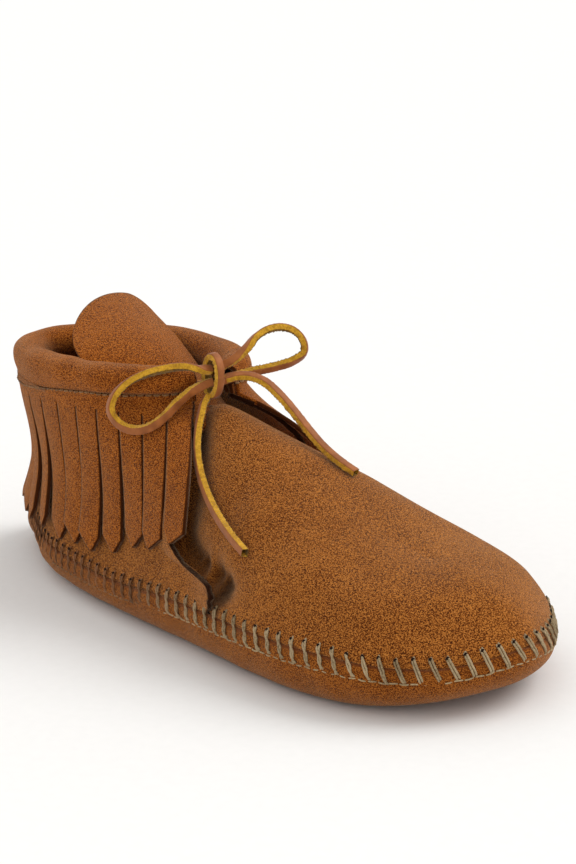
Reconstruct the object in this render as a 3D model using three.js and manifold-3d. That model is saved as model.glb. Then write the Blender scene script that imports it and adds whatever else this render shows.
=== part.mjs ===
// A soft-soled moccasin boot in suede, for the right foot, in millimetres. The toe points to +X, the
// inner (big toe) side is +Y and +Z is up. It stands on its sole, with the origin under its middle.
import * as THREE from "three";
import Module from "manifold-3d";

const wasm = await Module();
wasm.setup();

// Driving dimensions of the last
const length = 251;
const ballWidth = 94;
const instepHeight = 84;
const toeSpring = 8.2;
const archLift = 1.2;
const heelFocus = 30;
const toeFocus = 42;

// Leather, seam and insole
const soleWall = 2.2;
const upperWall = 1.7;
const fringeWall = 1.5;
const clearance = 0.3;
const soleEdgeRound = 11;
const seamHeight = 15;
const widestHeight = 11;
const rimLean = 0.8;
const insoleThickness = 4;

// Ankle opening and its rolled collar
const collarHeight = 74;
const collarRise = 4;
const collarInnerDrop = 2;
const collarLength = 94;
const collarWidth = 53;
const collarSetIn = 11.5;
const collarGap = 13;
const rollRadius = 5.8;
const tunnelRadius = 3.6;
const hemDepth = 6.2;

// Quarter and vamp
const quarterFront = 149;
const quarterWaist = 1.6;
const vampBack = 103;
const vampBackLow = 128;
const throatPinch = 9;

// Fringe
const fringeDrop = 48;
const frontShort = 14;
const fringeBand = 5.2;
const fringePoint = 4.5;
const fringeFlare = 2.6;
const fringeSweep = 0.045;
const stripCount = 25;
const slitGap = 0.9;

// Tongue
const tongueWall = 1.7;
const outerCap = 30;
const innerCap = 7;

// Lace and the middle of its knot, from the heel, to the inner side and above the floor
const laceDiameter = 3.4;
const knotLength = 11.8;
const knotHeight = 16.4;
const knotAlong = 112.4;
const knotAside = -5.5;
const knotUp = 80.5;

// Sections of the last from heel to toe. along is a share of the length, lateral and medial are the
// half widths and rise is the height of the ridge, as shares of the ball width and instep height.
// fullness is the power of the vamp's arc: 2 is an ellipse, and more is boxier.
const sections = [
  { along: 0.0, lateral: 0.0, medial: 0.0, rise: 1.0, fullness: 1.7 },
  { along: 0.028, lateral: 0.135, medial: 0.14, rise: 1.0, fullness: 1.7 },
  { along: 0.1, lateral: 0.25, medial: 0.25, rise: 1.0, fullness: 1.7 },
  { along: 0.2, lateral: 0.375, medial: 0.305, rise: 0.95, fullness: 1.7 },
  { along: 0.32, lateral: 0.427, medial: 0.315, rise: 0.85, fullness: 1.7 },
  { along: 0.41, lateral: 0.444, medial: 0.33, rise: 0.845, fullness: 1.7 },
  { along: 0.45, lateral: 0.45, medial: 0.345, rise: 0.845, fullness: 1.75 },
  { along: 0.5, lateral: 0.457, medial: 0.372, rise: 0.81, fullness: 1.8 },
  { along: 0.58, lateral: 0.468, medial: 0.42, rise: 0.725, fullness: 1.95 },
  { along: 0.69, lateral: 0.485, medial: 0.478, rise: 0.59, fullness: 2.15 },
  { along: 0.79, lateral: 0.468, medial: 0.479, rise: 0.495, fullness: 2.3 },
  { along: 0.885, lateral: 0.398, medial: 0.425, rise: 0.44, fullness: 2.35 },
  { along: 0.955, lateral: 0.255, medial: 0.275, rise: 0.44, fullness: 2.35 },
  { along: 0.99, lateral: 0.085, medial: 0.14, rise: 0.44, fullness: 2.35 },
  { along: 1.0, lateral: -0.03, medial: 0.03, rise: 0.44, fullness: 2.35 },
];

// The quarter's front edge: how far it steps back along the outline, in shares of the outline's
// length, at each share of the wall's height.
const frontEdge = [
  { rise: 0.0, back: 0.0 },
  { rise: 0.07, back: 0.004 },
  { rise: 0.13, back: 0.014 },
  { rise: 0.19, back: 0.03 },
  { rise: 0.27, back: 0.042 },
  { rise: 0.38, back: 0.046 },
  { rise: 0.65, back: 0.03 },
  { rise: 1.0, back: 0.0 },
];

// The tongue's centre line, from under the vamp to its tip, from the heel and above the floor, with
// its shift to the inner side, its width and the radius of the arch across it.
const tongueLine = [
  { along: 113, height: 65.2, shift: -5, width: 14, arch: 15 },
  { along: 109, height: 66.2, shift: -4.5, width: 18, arch: 16 },
  { along: 103, height: 67.4, shift: -3, width: 25, arch: 18 },
  { along: 96, height: 70.2, shift: -2, width: 31, arch: 20 },
  { along: 86, height: 74.8, shift: -1, width: 37, arch: 22 },
  { along: 74, height: 80, shift: -0.5, width: 38, arch: 24 },
  { along: 60, height: 85.5, shift: 0.6, width: 39, arch: 25 },
  { along: 46, height: 90, shift: 2.6, width: 38, arch: 26 },
  { along: 34, height: 93.5, shift: 5, width: 38, arch: 27 },
];

// The lace's loops and ends as they lie, from knot to tip: from the heel, to the inner side and above
// the floor.
const laceRoutes = {
  lace_loop_near: [
    [112.2, -5.95, 82.6], [111.5, -9.3, 83.3], [106.9, -13.2, 84.2], [102.7, -17.8, 83.6],
    [98.5, -23.1, 82.1], [94, -27.4, 79.1], [91.4, -31, 74.8], [91.1, -32.7, 70.3],
    [94.1, -31.7, 65.9], [99.2, -29.5, 64.4], [104.4, -26.7, 65.8], [106.8, -22.3, 68.8],
    [108, -17.5, 72.8], [110.4, -13.4, 76.4], [111.9, -9.4, 78], [112.2, -5.95, 78.4],
  ],
  lace_loop_far: [
    [112.4, -5.05, 82.6], [112.8, -1.9, 83.2], [115.1, 1.2, 85], [116.9, 4.9, 88], [117.5, 9.3, 91.7],
    [118.7, 13.6, 93.6], [120.7, 18, 93.9], [122.9, 21.6, 92.2], [124.8, 23.6, 88.4],
    [124.6, 23.6, 84.7], [122.5, 20.2, 82], [119.5, 15.2, 80.6], [116.5, 9.4, 79.8],
    [114.3, 3.6, 79], [112.7, -1.6, 78.3], [112.4, -5.05, 78.4],
  ],
  lace_end_near: [
    [112.2, -7.8, 73.8], [113.2, -10.4, 72.2], [114.6, -12.7, 69.7], [117, -16.3, 65.1],
    [121, -20.2, 60], [126.6, -23.6, 54.5], [134.1, -26.9, 49.5], [143.7, -30.5, 45.5],
    [154.7, -34.1, 42.3], [164.5, -36.1, 39.3],
  ],
  lace_end_far: [
    [116.5, -3.2, 79.9], [118.4, -0.5, 80.5], [122, 2.8, 80.4], [126, 5.6, 78.6], [131, 7.6, 74.6],
    [136.4, 8.9, 69.8], [142.8, 9.4, 64.8], [149.9, 9.8, 60.2], [157.3, 10.3, 56.9], [163.5, 11.6, 54.2],
  ],
};

const suede = { color: 0x9c5f2c, roughness: 0.95, metalness: 0 };
const lining = { color: 0xb98d5e, roughness: 0.95, metalness: 0 };
const hide = { color: 0xc79a35, roughness: 0.85, metalness: 0 };

const lerp = THREE.MathUtils.lerp;
const clamp = THREE.MathUtils.clamp;
const smooth = (value, from, to) => THREE.MathUtils.smoothstep(value, from, to);

// Reads a column of a table at a place between its rows, smoothly.
function columnAt(table, key, column, place) {
  let row = table.findIndex((entry) => entry[key] >= place);
  if (row < 0) row = table.length - 1;
  const k = clamp(row, 1, table.length - 1);
  const [a, b] = [table[k - 1], table[k]];
  const slope = (i) => {
    const [p, q] = [table[Math.max(i - 1, 0)], table[Math.min(i + 1, table.length - 1)]];
    return (q[column] - p[column]) / (q[key] - p[key]);
  };
  const span = b[key] - a[key];
  const t = clamp((place - a[key]) / span, 0, 1);
  const [t2, t3] = [t * t, t * t * t];
  return (
    (2 * t3 - 3 * t2 + 1) * a[column] +
    (t3 - 2 * t2 + t) * span * slope(k - 1) +
    (3 * t2 - 2 * t3) * b[column] +
    (t3 - t2) * span * slope(k)
  );
}

// The sole's outline seen from above: heel, outer side, toe, inner side.
const outlineSamples = 960;
function makeOutline() {
  const outer = sections.map((s) => new THREE.Vector3(s.along * length, -s.lateral * ballWidth, 0));
  const inner = sections
    .slice(1, -1)
    .reverse()
    .map((s) => new THREE.Vector3(s.along * length, s.medial * ballWidth, 0));
  const curve = new THREE.CatmullRomCurve3([...outer, ...inner], true, "centripetal");
  return curve.getPoints(outlineSamples).slice(0, -1);
}
const outline = makeOutline();
const heelIndex = outline.reduce((best, p, i) => (p.x < outline[best].x ? i : best), 0);
const toeIndex = outline.reduce((best, p, i) => (p.x > outline[best].x ? i : best), 0);
const heelEnd = outline[heelIndex].x;
const toeEnd = outline[toeIndex].x;

// One side of the outline, from heel to toe, with the distance along it.
function sideOf(step) {
  const line = [];
  let travelled = 0;
  for (let i = heelIndex; ; i = (i + step + outline.length) % outline.length) {
    const point = outline[i];
    if (line.length) travelled += point.distanceTo(line[line.length - 1].point);
    line.push({ point, travelled });
    if (i === toeIndex) break;
  }
  return line;
}
const sides = { lateral: sideOf(1), medial: sideOf(-1) };

// The point and the outward direction of one side where a measure reaches a value.
function onSide(side, measure, value) {
  const line = sides[side];
  let high = line.findIndex((entry) => measure(entry) >= value);
  if (high < 0) high = line.length - 1;
  high = Math.max(high, 1);
  const [a, b] = [line[high - 1], line[high]];
  const share = clamp((value - measure(a)) / (measure(b) - measure(a) || 1), 0, 1);
  const before = line[Math.max(high - 2, 0)].point;
  const after = line[Math.min(high + 1, line.length - 1)].point;
  const along = after.clone().sub(before).normalize();
  const turn = side === "lateral" ? 1 : -1;
  const atEnd = (high === 1 && share === 0) || (high === line.length - 1 && share === 1);
  const out = new THREE.Vector3(along.y * turn, -along.x * turn, 0);
  if (atEnd) out.set(share === 0 ? -1 : 1, 0, 0);
  return { point: a.point.clone().lerp(b.point, share), out };
}
const outlineAtX = (side, x) => onSide(side, (entry) => entry.point.x, x);
const outlineAtLength = (side, distance) => onSide(side, (entry) => entry.travelled, distance);
const lengthAt = (side, x) => sides[side].find((entry) => entry.point.x >= x).travelled;

// The line down the middle that a ring of the last closes onto. It stops short of heel and toe.
const spineSnap = 0.4;
function spineX(x) {
  const [from, to] = [heelEnd + heelFocus, toeEnd - toeFocus];
  const fromToe = Math.max(0, (x - (toeEnd - 2 * toeFocus)) / (2 * toeFocus));
  const fromHeel = Math.max(0, (heelEnd + 2 * heelFocus - x) / (2 * heelFocus));
  const along = x - toeFocus * fromToe ** 2 + heelFocus * fromHeel ** 2;
  if (along - from < spineSnap) return from;
  return to - along < spineSnap ? to : along;
}
function spineY(x) {
  return (outlineAtX("lateral", x).point.y + outlineAtX("medial", x).point.y) / 2;
}

// How far the bottom lifts off the floor at the toe and under the arch.
const springStart = 0.78;
const archFrom = 0.24;
const archSpan = 0.3;
function floorLift(x, y) {
  const share = x / length;
  const toe = Math.max(0, (share - springStart) / (1 - springStart));
  const arch = Math.sin(Math.PI * clamp((share - archFrom) / archSpan, 0, 1)) ** 2;
  const inner = smooth(y, -0.1 * ballWidth, 0.3 * ballWidth);
  return toeSpring * toe ** 2 + archLift * arch * inner;
}

// A surface as points and triangles, welded where points meet.
class Surface {
  constructor() {
    this.points = [];
    this.faces = [];
    this.places = new Map();
  }
  vertex(point) {
    const key = [point.x, point.y, point.z].map((v) => Math.round(v * 500)).join();
    if (!this.places.has(key)) {
      this.places.set(key, this.points.length);
      this.points.push(point.clone());
    }
    return this.places.get(key);
  }
  triangle(a, b, c) {
    if (a !== b && b !== c && c !== a) this.faces.push([a, b, c]);
  }
  quad(a, b, c, d) {
    const short = this.points[a].distanceTo(this.points[c]) <= this.points[b].distanceTo(this.points[d]);
    const halves = short ? [[a, b, c], [a, c, d]] : [[a, b, d], [b, c, d]];
    halves.forEach((half) => this.triangle(...half));
  }
  // A grid of columns by rows. filled says which cells have a face.
  grid(columns, rows, pointAt, filled = () => true) {
    const ids = [];
    const id = (i, j) => (ids[i * rows + j] ??= this.vertex(pointAt(i, j)));
    for (let i = 0; i < columns - 1; i++)
      for (let j = 0; j < rows - 1; j++)
        if (filled(i, j)) this.quad(id(i, j), id(i + 1, j), id(i + 1, j + 1), id(i, j + 1));
    return this;
  }
  flipped() {
    this.faces.forEach((face) => face.reverse());
    return this;
  }
  normals() {
    const sums = this.points.map(() => new THREE.Vector3());
    for (const face of this.faces) {
      const [a, b, c] = face.map((k) => this.points[k]);
      const cross = b.clone().sub(a).cross(c.clone().sub(a));
      face.forEach((k) => sums[k].add(cross));
    }
    return sums.map((sum) => sum.normalize());
  }
  // A closed solid: this surface outside, and a copy one wall further in.
  thickened(wall) {
    const normals = this.normals();
    const count = this.points.length;
    const solid = new Surface();
    solid.points = [
      ...this.points,
      ...this.points.map((p, k) => p.clone().addScaledVector(normals[k], -wall)),
    ];
    solid.faces = this.faces.flatMap(([a, b, c]) => [[a, b, c], [a + count, c + count, b + count]]);
    const used = new Set(this.faces.flatMap(([a, b, c]) => [`${a},${b}`, `${b},${c}`, `${c},${a}`]));
    for (const edge of used) {
      const [a, b] = edge.split(",").map(Number);
      if (!used.has(`${b},${a}`)) solid.faces.push([b, a, a + count], [b, a + count, b + count]);
    }
    return solid;
  }
  geometry() {
    const made = new THREE.BufferGeometry();
    made.setAttribute("position", new THREE.BufferAttribute(
      new Float32Array(this.points.flatMap((p) => [p.x, p.y, p.z])), 3));
    made.setIndex(this.faces.flat());
    return made;
  }
}

// Between a three.js geometry and a solid that can be joined
function solidOf(geometry) {
  return new wasm.Manifold(new wasm.Mesh({
    numProp: 3,
    vertProperties: geometry.getAttribute("position").array,
    triVerts: new Uint32Array(geometry.index.array),
  }));
}
function geometryOf(solid) {
  const mesh = solid.getMesh();
  const made = new THREE.BufferGeometry();
  made.setAttribute("position", new THREE.BufferAttribute(mesh.vertProperties, 3));
  made.setIndex(new THREE.BufferAttribute(mesh.triVerts, 1));
  return made;
}

// A ring goes round the whole outline and closes on itself, with closer steps at heel and toe.
const ringSteps = 30;
const ringX = (i) => heelEnd + ((toeEnd - heelEnd) * (1 - Math.cos((Math.PI * i) / ringSteps))) / 2;
function ringPlace(i) {
  const k = i <= ringSteps ? i : 2 * ringSteps - i;
  const side = i <= ringSteps ? "lateral" : "medial";
  return outlineAtX(side, ringX(k));
}

// A place on the outline, moved in by a depth and up to a height above the shoe's bottom.
function inset({ point, out }, depth, height) {
  const p = point.clone().addScaledVector(out, -depth);
  p.z = height + floorLift(p.x, p.y);
  return p;
}
function onSpine({ point }, height) {
  const x = spineX(point.x);
  const y = spineY(x);
  return new THREE.Vector3(x, y, height + floorLift(x, y));
}

// A place on the rounded lower edge of the sole's cup. The angle runs from 0 at the widest height to a
// quarter turn at the floor, and inward is the distance inside the sole's outer face.
function onCup(place, inward, angle) {
  const depth = soleEdgeRound * (1 - Math.cos(angle)) + inward * Math.cos(angle);
  const height = widestHeight * (1 - Math.sin(angle)) + inward * Math.sin(angle);
  return inset(place, depth, height);
}

const cornerSteps = 4;
function soleGeometry() {
  const rows = cornerSteps + 3;
  const skin = new Surface().grid(2 * ringSteps + 1, rows, (i, j) => {
    const place = ringPlace(i);
    if (j === 0) return inset(place, rimLean, seamHeight);
    if (j === rows - 1) return onSpine(place, 0);
    return onCup(place, 0, ((j - 1) / cornerSteps) * (Math.PI / 2));
  });
  return skin.flipped().thickened(soleWall).geometry();
}

// The padded insole fills the bottom of the cup.
const insoleLow = Math.PI * 0.42;
const insoleHigh = Math.PI * 0.28;
const insoleRound = 1.4;
const insoleEase = 0.25;
function insoleGeometry() {
  const inside = soleWall + clearance;
  const edge = inside + insoleEase;
  const top = inside + insoleThickness;
  const rows = [
    (place) => onSpine(place, inside),
    (place) => onCup(place, edge, insoleLow),
    (place) => onCup(place, edge, insoleHigh),
    (place) => inset(place, inside + clearance + upperWall + insoleRound, top),
    (place) => onSpine(place, top),
  ];
  return new Surface().grid(2 * ringSteps + 1, rows.length, (i, j) => rows[j](ringPlace(i))).geometry();
}

// The vamp: a tucked band inside the sole, then arcs from the seam up to the ridge. Its back runs in
// behind the quarter, and there the two are sewn into one along the band.
const tuckAngle = Math.PI / 7;
const tuckEase = 0.2;
const sewnShare = 0.4;
const lapGap = 0.5;
const lapEase = 10;
function behindQuarter(x) {
  return (upperWall + lapGap) * (1 - smooth(x, quarterFront - lapEase / 2, quarterFront + lapEase));
}
function ridgeAt(x) {
  const along = spineX(x);
  const height = instepHeight * columnAt(sections, "along", "rise", along / length);
  return new THREE.Vector3(along, spineY(along), height);
}
function vampArc(place, angle) {
  const { x } = place.point;
  const pinch = throatPinch * (1 - smooth(x, vampBack, quarterFront + lapEase)) * Math.sin(2 * angle);
  const depth = rimLean + soleWall + clearance + behindQuarter(x) + pinch;
  const base = inset(place, depth, seamHeight);
  const ridge = ridgeAt(x);
  const fullness = columnAt(sections, "along", "fullness", x / length);
  const across = Math.cos(angle) ** (2 / fullness);
  const up = Math.sin(angle) ** (2 / fullness);
  return new THREE.Vector3(
    lerp(ridge.x, base.x, across),
    lerp(ridge.y, base.y, across),
    lerp(base.z, ridge.z, up),
  );
}
const vampSteps = 22;
const archSteps = 9;
const tuckRows = 2;
function vampSolid() {
  const rows = archSteps + 1 + tuckRows;
  const skin = new Surface().grid(2 * vampSteps + 1, rows, (i, j) => {
    const climb = Math.max(0, j - tuckRows) / archSteps;
    const k = i <= vampSteps ? i : 2 * vampSteps - i;
    const x = lerp(lerp(vampBackLow, vampBack, climb), toeEnd, Math.sin((Math.PI / 2) * (k / vampSteps)));
    const place = outlineAtX(i <= vampSteps ? "lateral" : "medial", x);
    const inward = soleWall + clearance + tuckEase + sewnShare * behindQuarter(x);
    if (j < tuckRows) return onCup(place, inward, tuckAngle * (1 - j));
    return vampArc(place, climb * (Math.PI / 2));
  });
  return solidOf(skin.thickened(upperWall).geometry());
}

// The collar's centre line: an oval round the ankle, open at the front. It runs from the outer front,
// round the heel, to the inner front.
const collarBend = 2.15;
class CollarLine extends THREE.Curve {
  getPoint(share, target = new THREE.Vector3()) {
    const opening = Math.asin(clamp(collarGap / collarWidth, 0, 1));
    const angle = lerp(opening, 2 * Math.PI - opening, share);
    const squared = (value) => Math.sign(value) * Math.abs(value) ** (2 / collarBend);
    const forward = (1 + squared(Math.cos(angle))) / 2;
    const y = -(collarWidth / 2) * squared(Math.sin(angle));
    const drop = collarInnerDrop * smooth(y, -collarWidth / 2, collarWidth / 2);
    const x = heelEnd + collarSetIn + collarLength * forward;
    return target.set(x, y, collarHeight + collarRise * forward - drop);
  }
}
const collarLine = new CollarLine();
collarLine.arcLengthDivisions = 400;
const collarPoint = (share) => collarLine.getPointAt(share);
function collarOut(share) {
  const along = collarLine.getTangentAt(share).setZ(0).normalize();
  return new THREE.Vector3(-along.y, along.x, 0);
}

// The collar is rolled over the lace: a tube with a tail down to the hem stitching.
const rollSides = 12;
const tunnelSides = 8;
const collarSteps = 36;
function rollSection() {
  const tail = (upperWall + clearance + fringeWall) / 2;
  const start = Math.asin(tail / rollRadius) * 1.6;
  const arc = Array.from({ length: rollSides }, (_, k) => {
    const angle = -Math.PI / 2 + start + ((2 * Math.PI - 2 * start) * k) / (rollSides - 1);
    return new THREE.Vector2(rollRadius * Math.cos(angle), rollRadius * Math.sin(angle));
  });
  return [...arc, new THREE.Vector2(-tail, -hemDepth), new THREE.Vector2(tail, -hemDepth)];
}
function tunnelSection() {
  return Array.from({ length: tunnelSides }, (_, k) => {
    const angle = (2 * Math.PI * (k + 0.5)) / tunnelSides;
    return new THREE.Vector2(tunnelRadius * Math.cos(angle), tunnelRadius * Math.sin(angle));
  });
}
function collarGeometry() {
  const [outer, hole] = [rollSection(), tunnelSection()];
  const place = (i, { x, y }) => {
    const share = i / collarSteps;
    const p = collarPoint(share).addScaledVector(collarOut(share), x);
    p.z += y;
    return p;
  };
  const around = (loop) => (i, j) => place(i, loop[j % loop.length]);
  const body = new Surface();
  body.grid(collarSteps + 1, outer.length + 1, around(outer)).flipped();
  body.grid(collarSteps + 1, hole.length + 1, around(hole));
  const loops = [...outer, ...hole];
  for (const end of [0, collarSteps])
    for (const face of THREE.ShapeUtils.triangulateShape(outer, [hole])) {
      const ids = face.map((k) => body.vertex(place(end, loops[k])));
      body.triangle(...(end === 0 ? ids.reverse() : ids));
    }
  return body.geometry();
}

// The quarter's wall at a share of its way round and of its height, from the seam to the hem.
const frontBend = 2.7;
const sideBend = 2.2;
const frontPower = 3;
const sideLength = {
  lateral: lengthAt("lateral", quarterFront),
  medial: lengthAt("medial", quarterFront),
};
function quarterPlace(share) {
  const side = share < 0.5 ? "lateral" : "medial";
  return outlineAtLength(side, Math.abs(1 - 2 * share) * sideLength[side]);
}
function quarterPoint(share, rise) {
  const base = inset(quarterPlace(share), rimLean + soleWall + clearance, seamHeight);
  const top = collarPoint(share);
  top.z -= hemDepth + clearance;
  const frontness = Math.abs(1 - 2 * share) ** frontPower;
  const up = clamp(rise, 0, 1);
  const inward = lerp(1 - (1 - up) ** sideBend, up ** frontBend, frontness);
  const point = new THREE.Vector3(
    lerp(base.x, top.x, inward),
    lerp(base.y, top.y, inward),
    lerp(base.z, top.z, rise),
  );
  const waist = quarterWaist * Math.sin(Math.PI * up) * (1 - frontness);
  return point.addScaledVector(collarOut(share), -waist);
}
const hemHeight = collarHeight - hemDepth - clearance;
const quarterColumns = 43;
const quarterRows = 8;
function quarterSolid() {
  const skin = new Surface().grid(quarterColumns, quarterRows + 1 + tuckRows, (i, j) => {
    const rise = Math.max(0, j - tuckRows) / quarterRows;
    const back = columnAt(frontEdge, "rise", "back", rise);
    const share = lerp(back, 1 - back, i / (quarterColumns - 1));
    const inward = soleWall + clearance + tuckEase;
    if (j < tuckRows) return onCup(quarterPlace(share), inward, tuckAngle * (1 - j));
    return quarterPoint(share, rise);
  });
  return solidOf(skin.flipped().thickened(upperWall).geometry());
}

// Vamp and quarter, sewn into one hollow upper
function upperGeometry() {
  return geometryOf(vampSolid().add(quarterSolid()));
}

// The fringe hangs outside the quarter from the hem. Each strip has a left edge, a point and a right
// edge. The slits between strips run up to the band. Strips are widest on the sides and shortest at the
// front. Strips long enough to pass the seam stand off by the sole's wall as well.
const overSole = rimLean + soleWall + clearance;
const overSoleFrom = 0.06;
const stripColumns = 3;
const stripRows = 6;
const fringeEnd = 0.006;
const pitchSwing = 0.15;
function stripEdge(k) {
  const turn = (4 * Math.PI * k) / stripCount;
  return fringeEnd + ((1 - 2 * fringeEnd) * (turn - pitchSwing * Math.sin(turn))) / (4 * Math.PI);
}
// The points lie toward the front on the sides and further back at the front.
const pointAside = 0.25;
const pointBack = 0.65;
function pointPlace(middle) {
  const place = lerp(pointAside, pointBack, smooth(Math.abs(1 - 2 * middle), 0.6, 0.95));
  return middle < 0.5 ? place : 1 - place;
}
function fringeGeometry() {
  const columns = stripColumns * stripCount;
  const wallHeight = hemHeight - seamHeight;
  const slit = slitGap / collarLine.getLength();
  const skin = new Surface().grid(columns, stripRows + 1, (i, j) => {
    const strip = Math.floor(i / stripColumns);
    const [start, end] = [stripEdge(strip) + slit / 2, stripEdge(strip + 1) - slit / 2];
    const middle = (start + end) / 2;
    const place = lerp(start, end, [0, pointPlace(middle), 1][i % stripColumns]);
    const pointed = i % stripColumns === 1 ? fringePoint : 0;
    const short = frontShort * Math.abs(1 - 2 * middle) ** 4;
    const long = fringeDrop - short - fringePoint + pointed + stripTrim(strip);
    const drop = j === 0 ? clearance : lerp(fringeBand, long, (j - 1) / (stripRows - 1));
    const rise = 1 - drop / wallHeight;
    const share = lerp(fringeSweep * (1 - rise), 1 - fringeSweep * (1 - rise), place);
    const flare = fringeFlare * stripLift(strip) * (drop / fringeDrop) ** 2;
    const lift = clearance + fringeWall + flare + overSole * (1 - smooth(rise, 0, overSoleFrom));
    return quarterPoint(share, rise).addScaledVector(collarOut(place), lift);
  }, (i, j) => j === 0 || i % stripColumns !== stripColumns - 1);
  return skin.flipped().thickened(fringeWall).geometry();
}
// Hand-cut strips differ a little in length and in how far they stand off.
const stripTrim = (strip) => 0.8 * Math.sin(2.3 * strip);
const stripLift = (strip) => 0.75 + 0.5 * Math.sin(1.7 * strip + 0.6);

// The tongue: an arched strip that leans back over the opening. Its end is rounded, more on the outer
// side, and its furthest point lies off the middle.
const tongueColumns = 11;
const tongueRows = 14;
const tipPlace = 0.7;
function tongueLength(across, full) {
  const outer = across < tipPlace;
  const from = outer ? (tipPlace - across) / (1 + tipPlace) : (across - tipPlace) / (1 - tipPlace);
  return full - (outer ? outerCap : innerCap) * (1 - Math.sqrt(Math.max(0, 1 - from * from)));
}
function tongueGeometry() {
  const line = new THREE.CatmullRomCurve3(
    tongueLine.map((row) => new THREE.Vector3(row.along, row.shift, row.height)));
  const full = line.getLength();
  const table = [...tongueLine].reverse();
  const skin = new Surface().grid(tongueColumns, tongueRows + 1, (i, j) => {
    const across = -Math.cos((Math.PI * i) / (tongueColumns - 1));
    const share = ((j / tongueRows) * tongueLength(across, full)) / full;
    const centre = line.getPointAt(share);
    const along = line.getTangentAt(share);
    const arch = columnAt(table, "along", "arch", centre.x);
    const side = (across * columnAt(table, "along", "width", centre.x)) / 2;
    const sink = arch * (1 - Math.cos(side / arch));
    const y = arch * Math.sin(side / arch);
    return centre.add(new THREE.Vector3(-along.z * sink, y, along.x * sink));
  });
  return skin.thickened(tongueWall).geometry();
}

// A tube of lace along a list of places
const laceSides = 8;
const laceStep = 2;
function laceTube(route) {
  const curve = new THREE.CatmullRomCurve3(route, false, "centripetal");
  const section = new THREE.Shape(Array.from({ length: laceSides }, (_, k) => {
    const angle = (2 * Math.PI * k) / laceSides;
    return new THREE.Vector2(Math.cos(angle), Math.sin(angle)).multiplyScalar(laceDiameter / 2);
  }));
  const steps = Math.ceil(curve.getLength() / (laceStep * laceDiameter));
  return new THREE.ExtrudeGeometry(section, { extrudePath: curve, steps });
}

// The lace crosses the gap between the collar's two ends and lies on the floor of its tunnel.
const tieReach = 0.045;
const tieBow = 1.2;
function tieGeometry() {
  const rest = tunnelRadius * Math.cos(Math.PI / tunnelSides) - laceDiameter / 2 - clearance;
  const route = [tieReach, tieReach / 2, 0, 0.5, 1, 1 - tieReach / 2, 1 - tieReach].map((share) => {
    const middle = share === 0.5;
    const point = middle ? collarPoint(0).lerp(collarPoint(1), share) : collarPoint(share);
    if (middle) point.x += tieBow;
    point.z -= rest;
    return point;
  });
  return laceTube(route);
}

// The knot is one turn of lace round the loops, a tall oval seen from the side.
const knotColumns = 18;
function knotGeometry() {
  const [wide, high] = [knotLength - laceDiameter, knotHeight - laceDiameter].map((size) => size / 2);
  return new Surface().grid(knotColumns + 1, laceSides + 1, (i, j) => {
    const [a, b] = [(2 * Math.PI * i) / knotColumns, (2 * Math.PI * j) / laceSides];
    const out = new THREE.Vector3(Math.cos(a) / wide, 0, Math.sin(a) / high).normalize();
    return new THREE.Vector3(knotAlong + wide * Math.cos(a), knotAside, knotUp + high * Math.sin(a))
      .addScaledVector(out, (laceDiameter / 2) * Math.cos(b))
      .add(new THREE.Vector3(0, -(laceDiameter / 2) * Math.sin(b), 0));
  }).geometry();
}

const part = new THREE.Group();
function addPiece(name, geometry, finish) {
  const mesh = new THREE.Mesh(geometry, new THREE.MeshStandardMaterial(finish));
  mesh.name = name;
  part.add(mesh);
}
addPiece("sole", soleGeometry(), suede);
addPiece("insole", insoleGeometry(), lining);
addPiece("upper", upperGeometry(), suede);
addPiece("collar", collarGeometry(), suede);
addPiece("fringe", fringeGeometry(), suede);
addPiece("tongue", tongueGeometry(), suede);

// The origin is under the middle of the boot, without its lace.
const boot = new THREE.Box3().setFromObject(part);
const middle = boot.getCenter(new THREE.Vector3());
part.position.set(-middle.x, -middle.y, -boot.min.z);

addPiece("lace_tie", tieGeometry(), hide);
addPiece("lace_knot", knotGeometry(), hide);
for (const [name, route] of Object.entries(laceRoutes))
  addPiece(name, laceTube(route.map((place) => new THREE.Vector3(...place))), hide);

export default part;
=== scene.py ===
"""A fringed suede moccasin boot for the right foot, dressed for its picture."""

import logging
import math
from dataclasses import dataclass, field
from enum import Enum
from typing import Callable, Sequence

import bmesh
import bpy
import numpy as np
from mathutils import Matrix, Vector


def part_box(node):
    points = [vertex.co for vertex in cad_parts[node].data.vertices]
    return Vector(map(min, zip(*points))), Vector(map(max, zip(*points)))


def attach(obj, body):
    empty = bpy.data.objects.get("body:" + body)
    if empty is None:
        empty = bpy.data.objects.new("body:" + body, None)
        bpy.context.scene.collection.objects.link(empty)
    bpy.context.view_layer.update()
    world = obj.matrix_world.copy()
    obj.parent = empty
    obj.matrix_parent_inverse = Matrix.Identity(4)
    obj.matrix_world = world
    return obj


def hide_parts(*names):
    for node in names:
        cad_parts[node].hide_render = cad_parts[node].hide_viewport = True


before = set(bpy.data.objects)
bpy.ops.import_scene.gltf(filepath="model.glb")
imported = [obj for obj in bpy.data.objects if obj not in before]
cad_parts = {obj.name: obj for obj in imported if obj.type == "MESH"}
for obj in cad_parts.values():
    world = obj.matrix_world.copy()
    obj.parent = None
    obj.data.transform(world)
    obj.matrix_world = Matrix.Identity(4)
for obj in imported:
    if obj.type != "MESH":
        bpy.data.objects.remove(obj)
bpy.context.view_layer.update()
log = logging.getLogger("moccasin")
Form = Callable[[np.ndarray, np.ndarray], np.ndarray]
BODY = "root"
MM = 0.001
# Points nearer to each other than this, in metres, are merged: on a leather, and where a tube closes.
LEATHER_MERGE = 2e-5
TUBE_MERGE = 1e-7


def lerp(a: float | np.ndarray, b: float | np.ndarray, share: float | np.ndarray) -> np.ndarray:
    """The value a share of the way from a to b."""
    return a + (b - a) * share


def ease(value: np.ndarray, start: float, end: float) -> np.ndarray:
    """A smooth step from 0 at start to 1 at end."""
    t = np.clip((value - start) / (end - start), 0, 1)
    return t * t * (3 - 2 * t)


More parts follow.
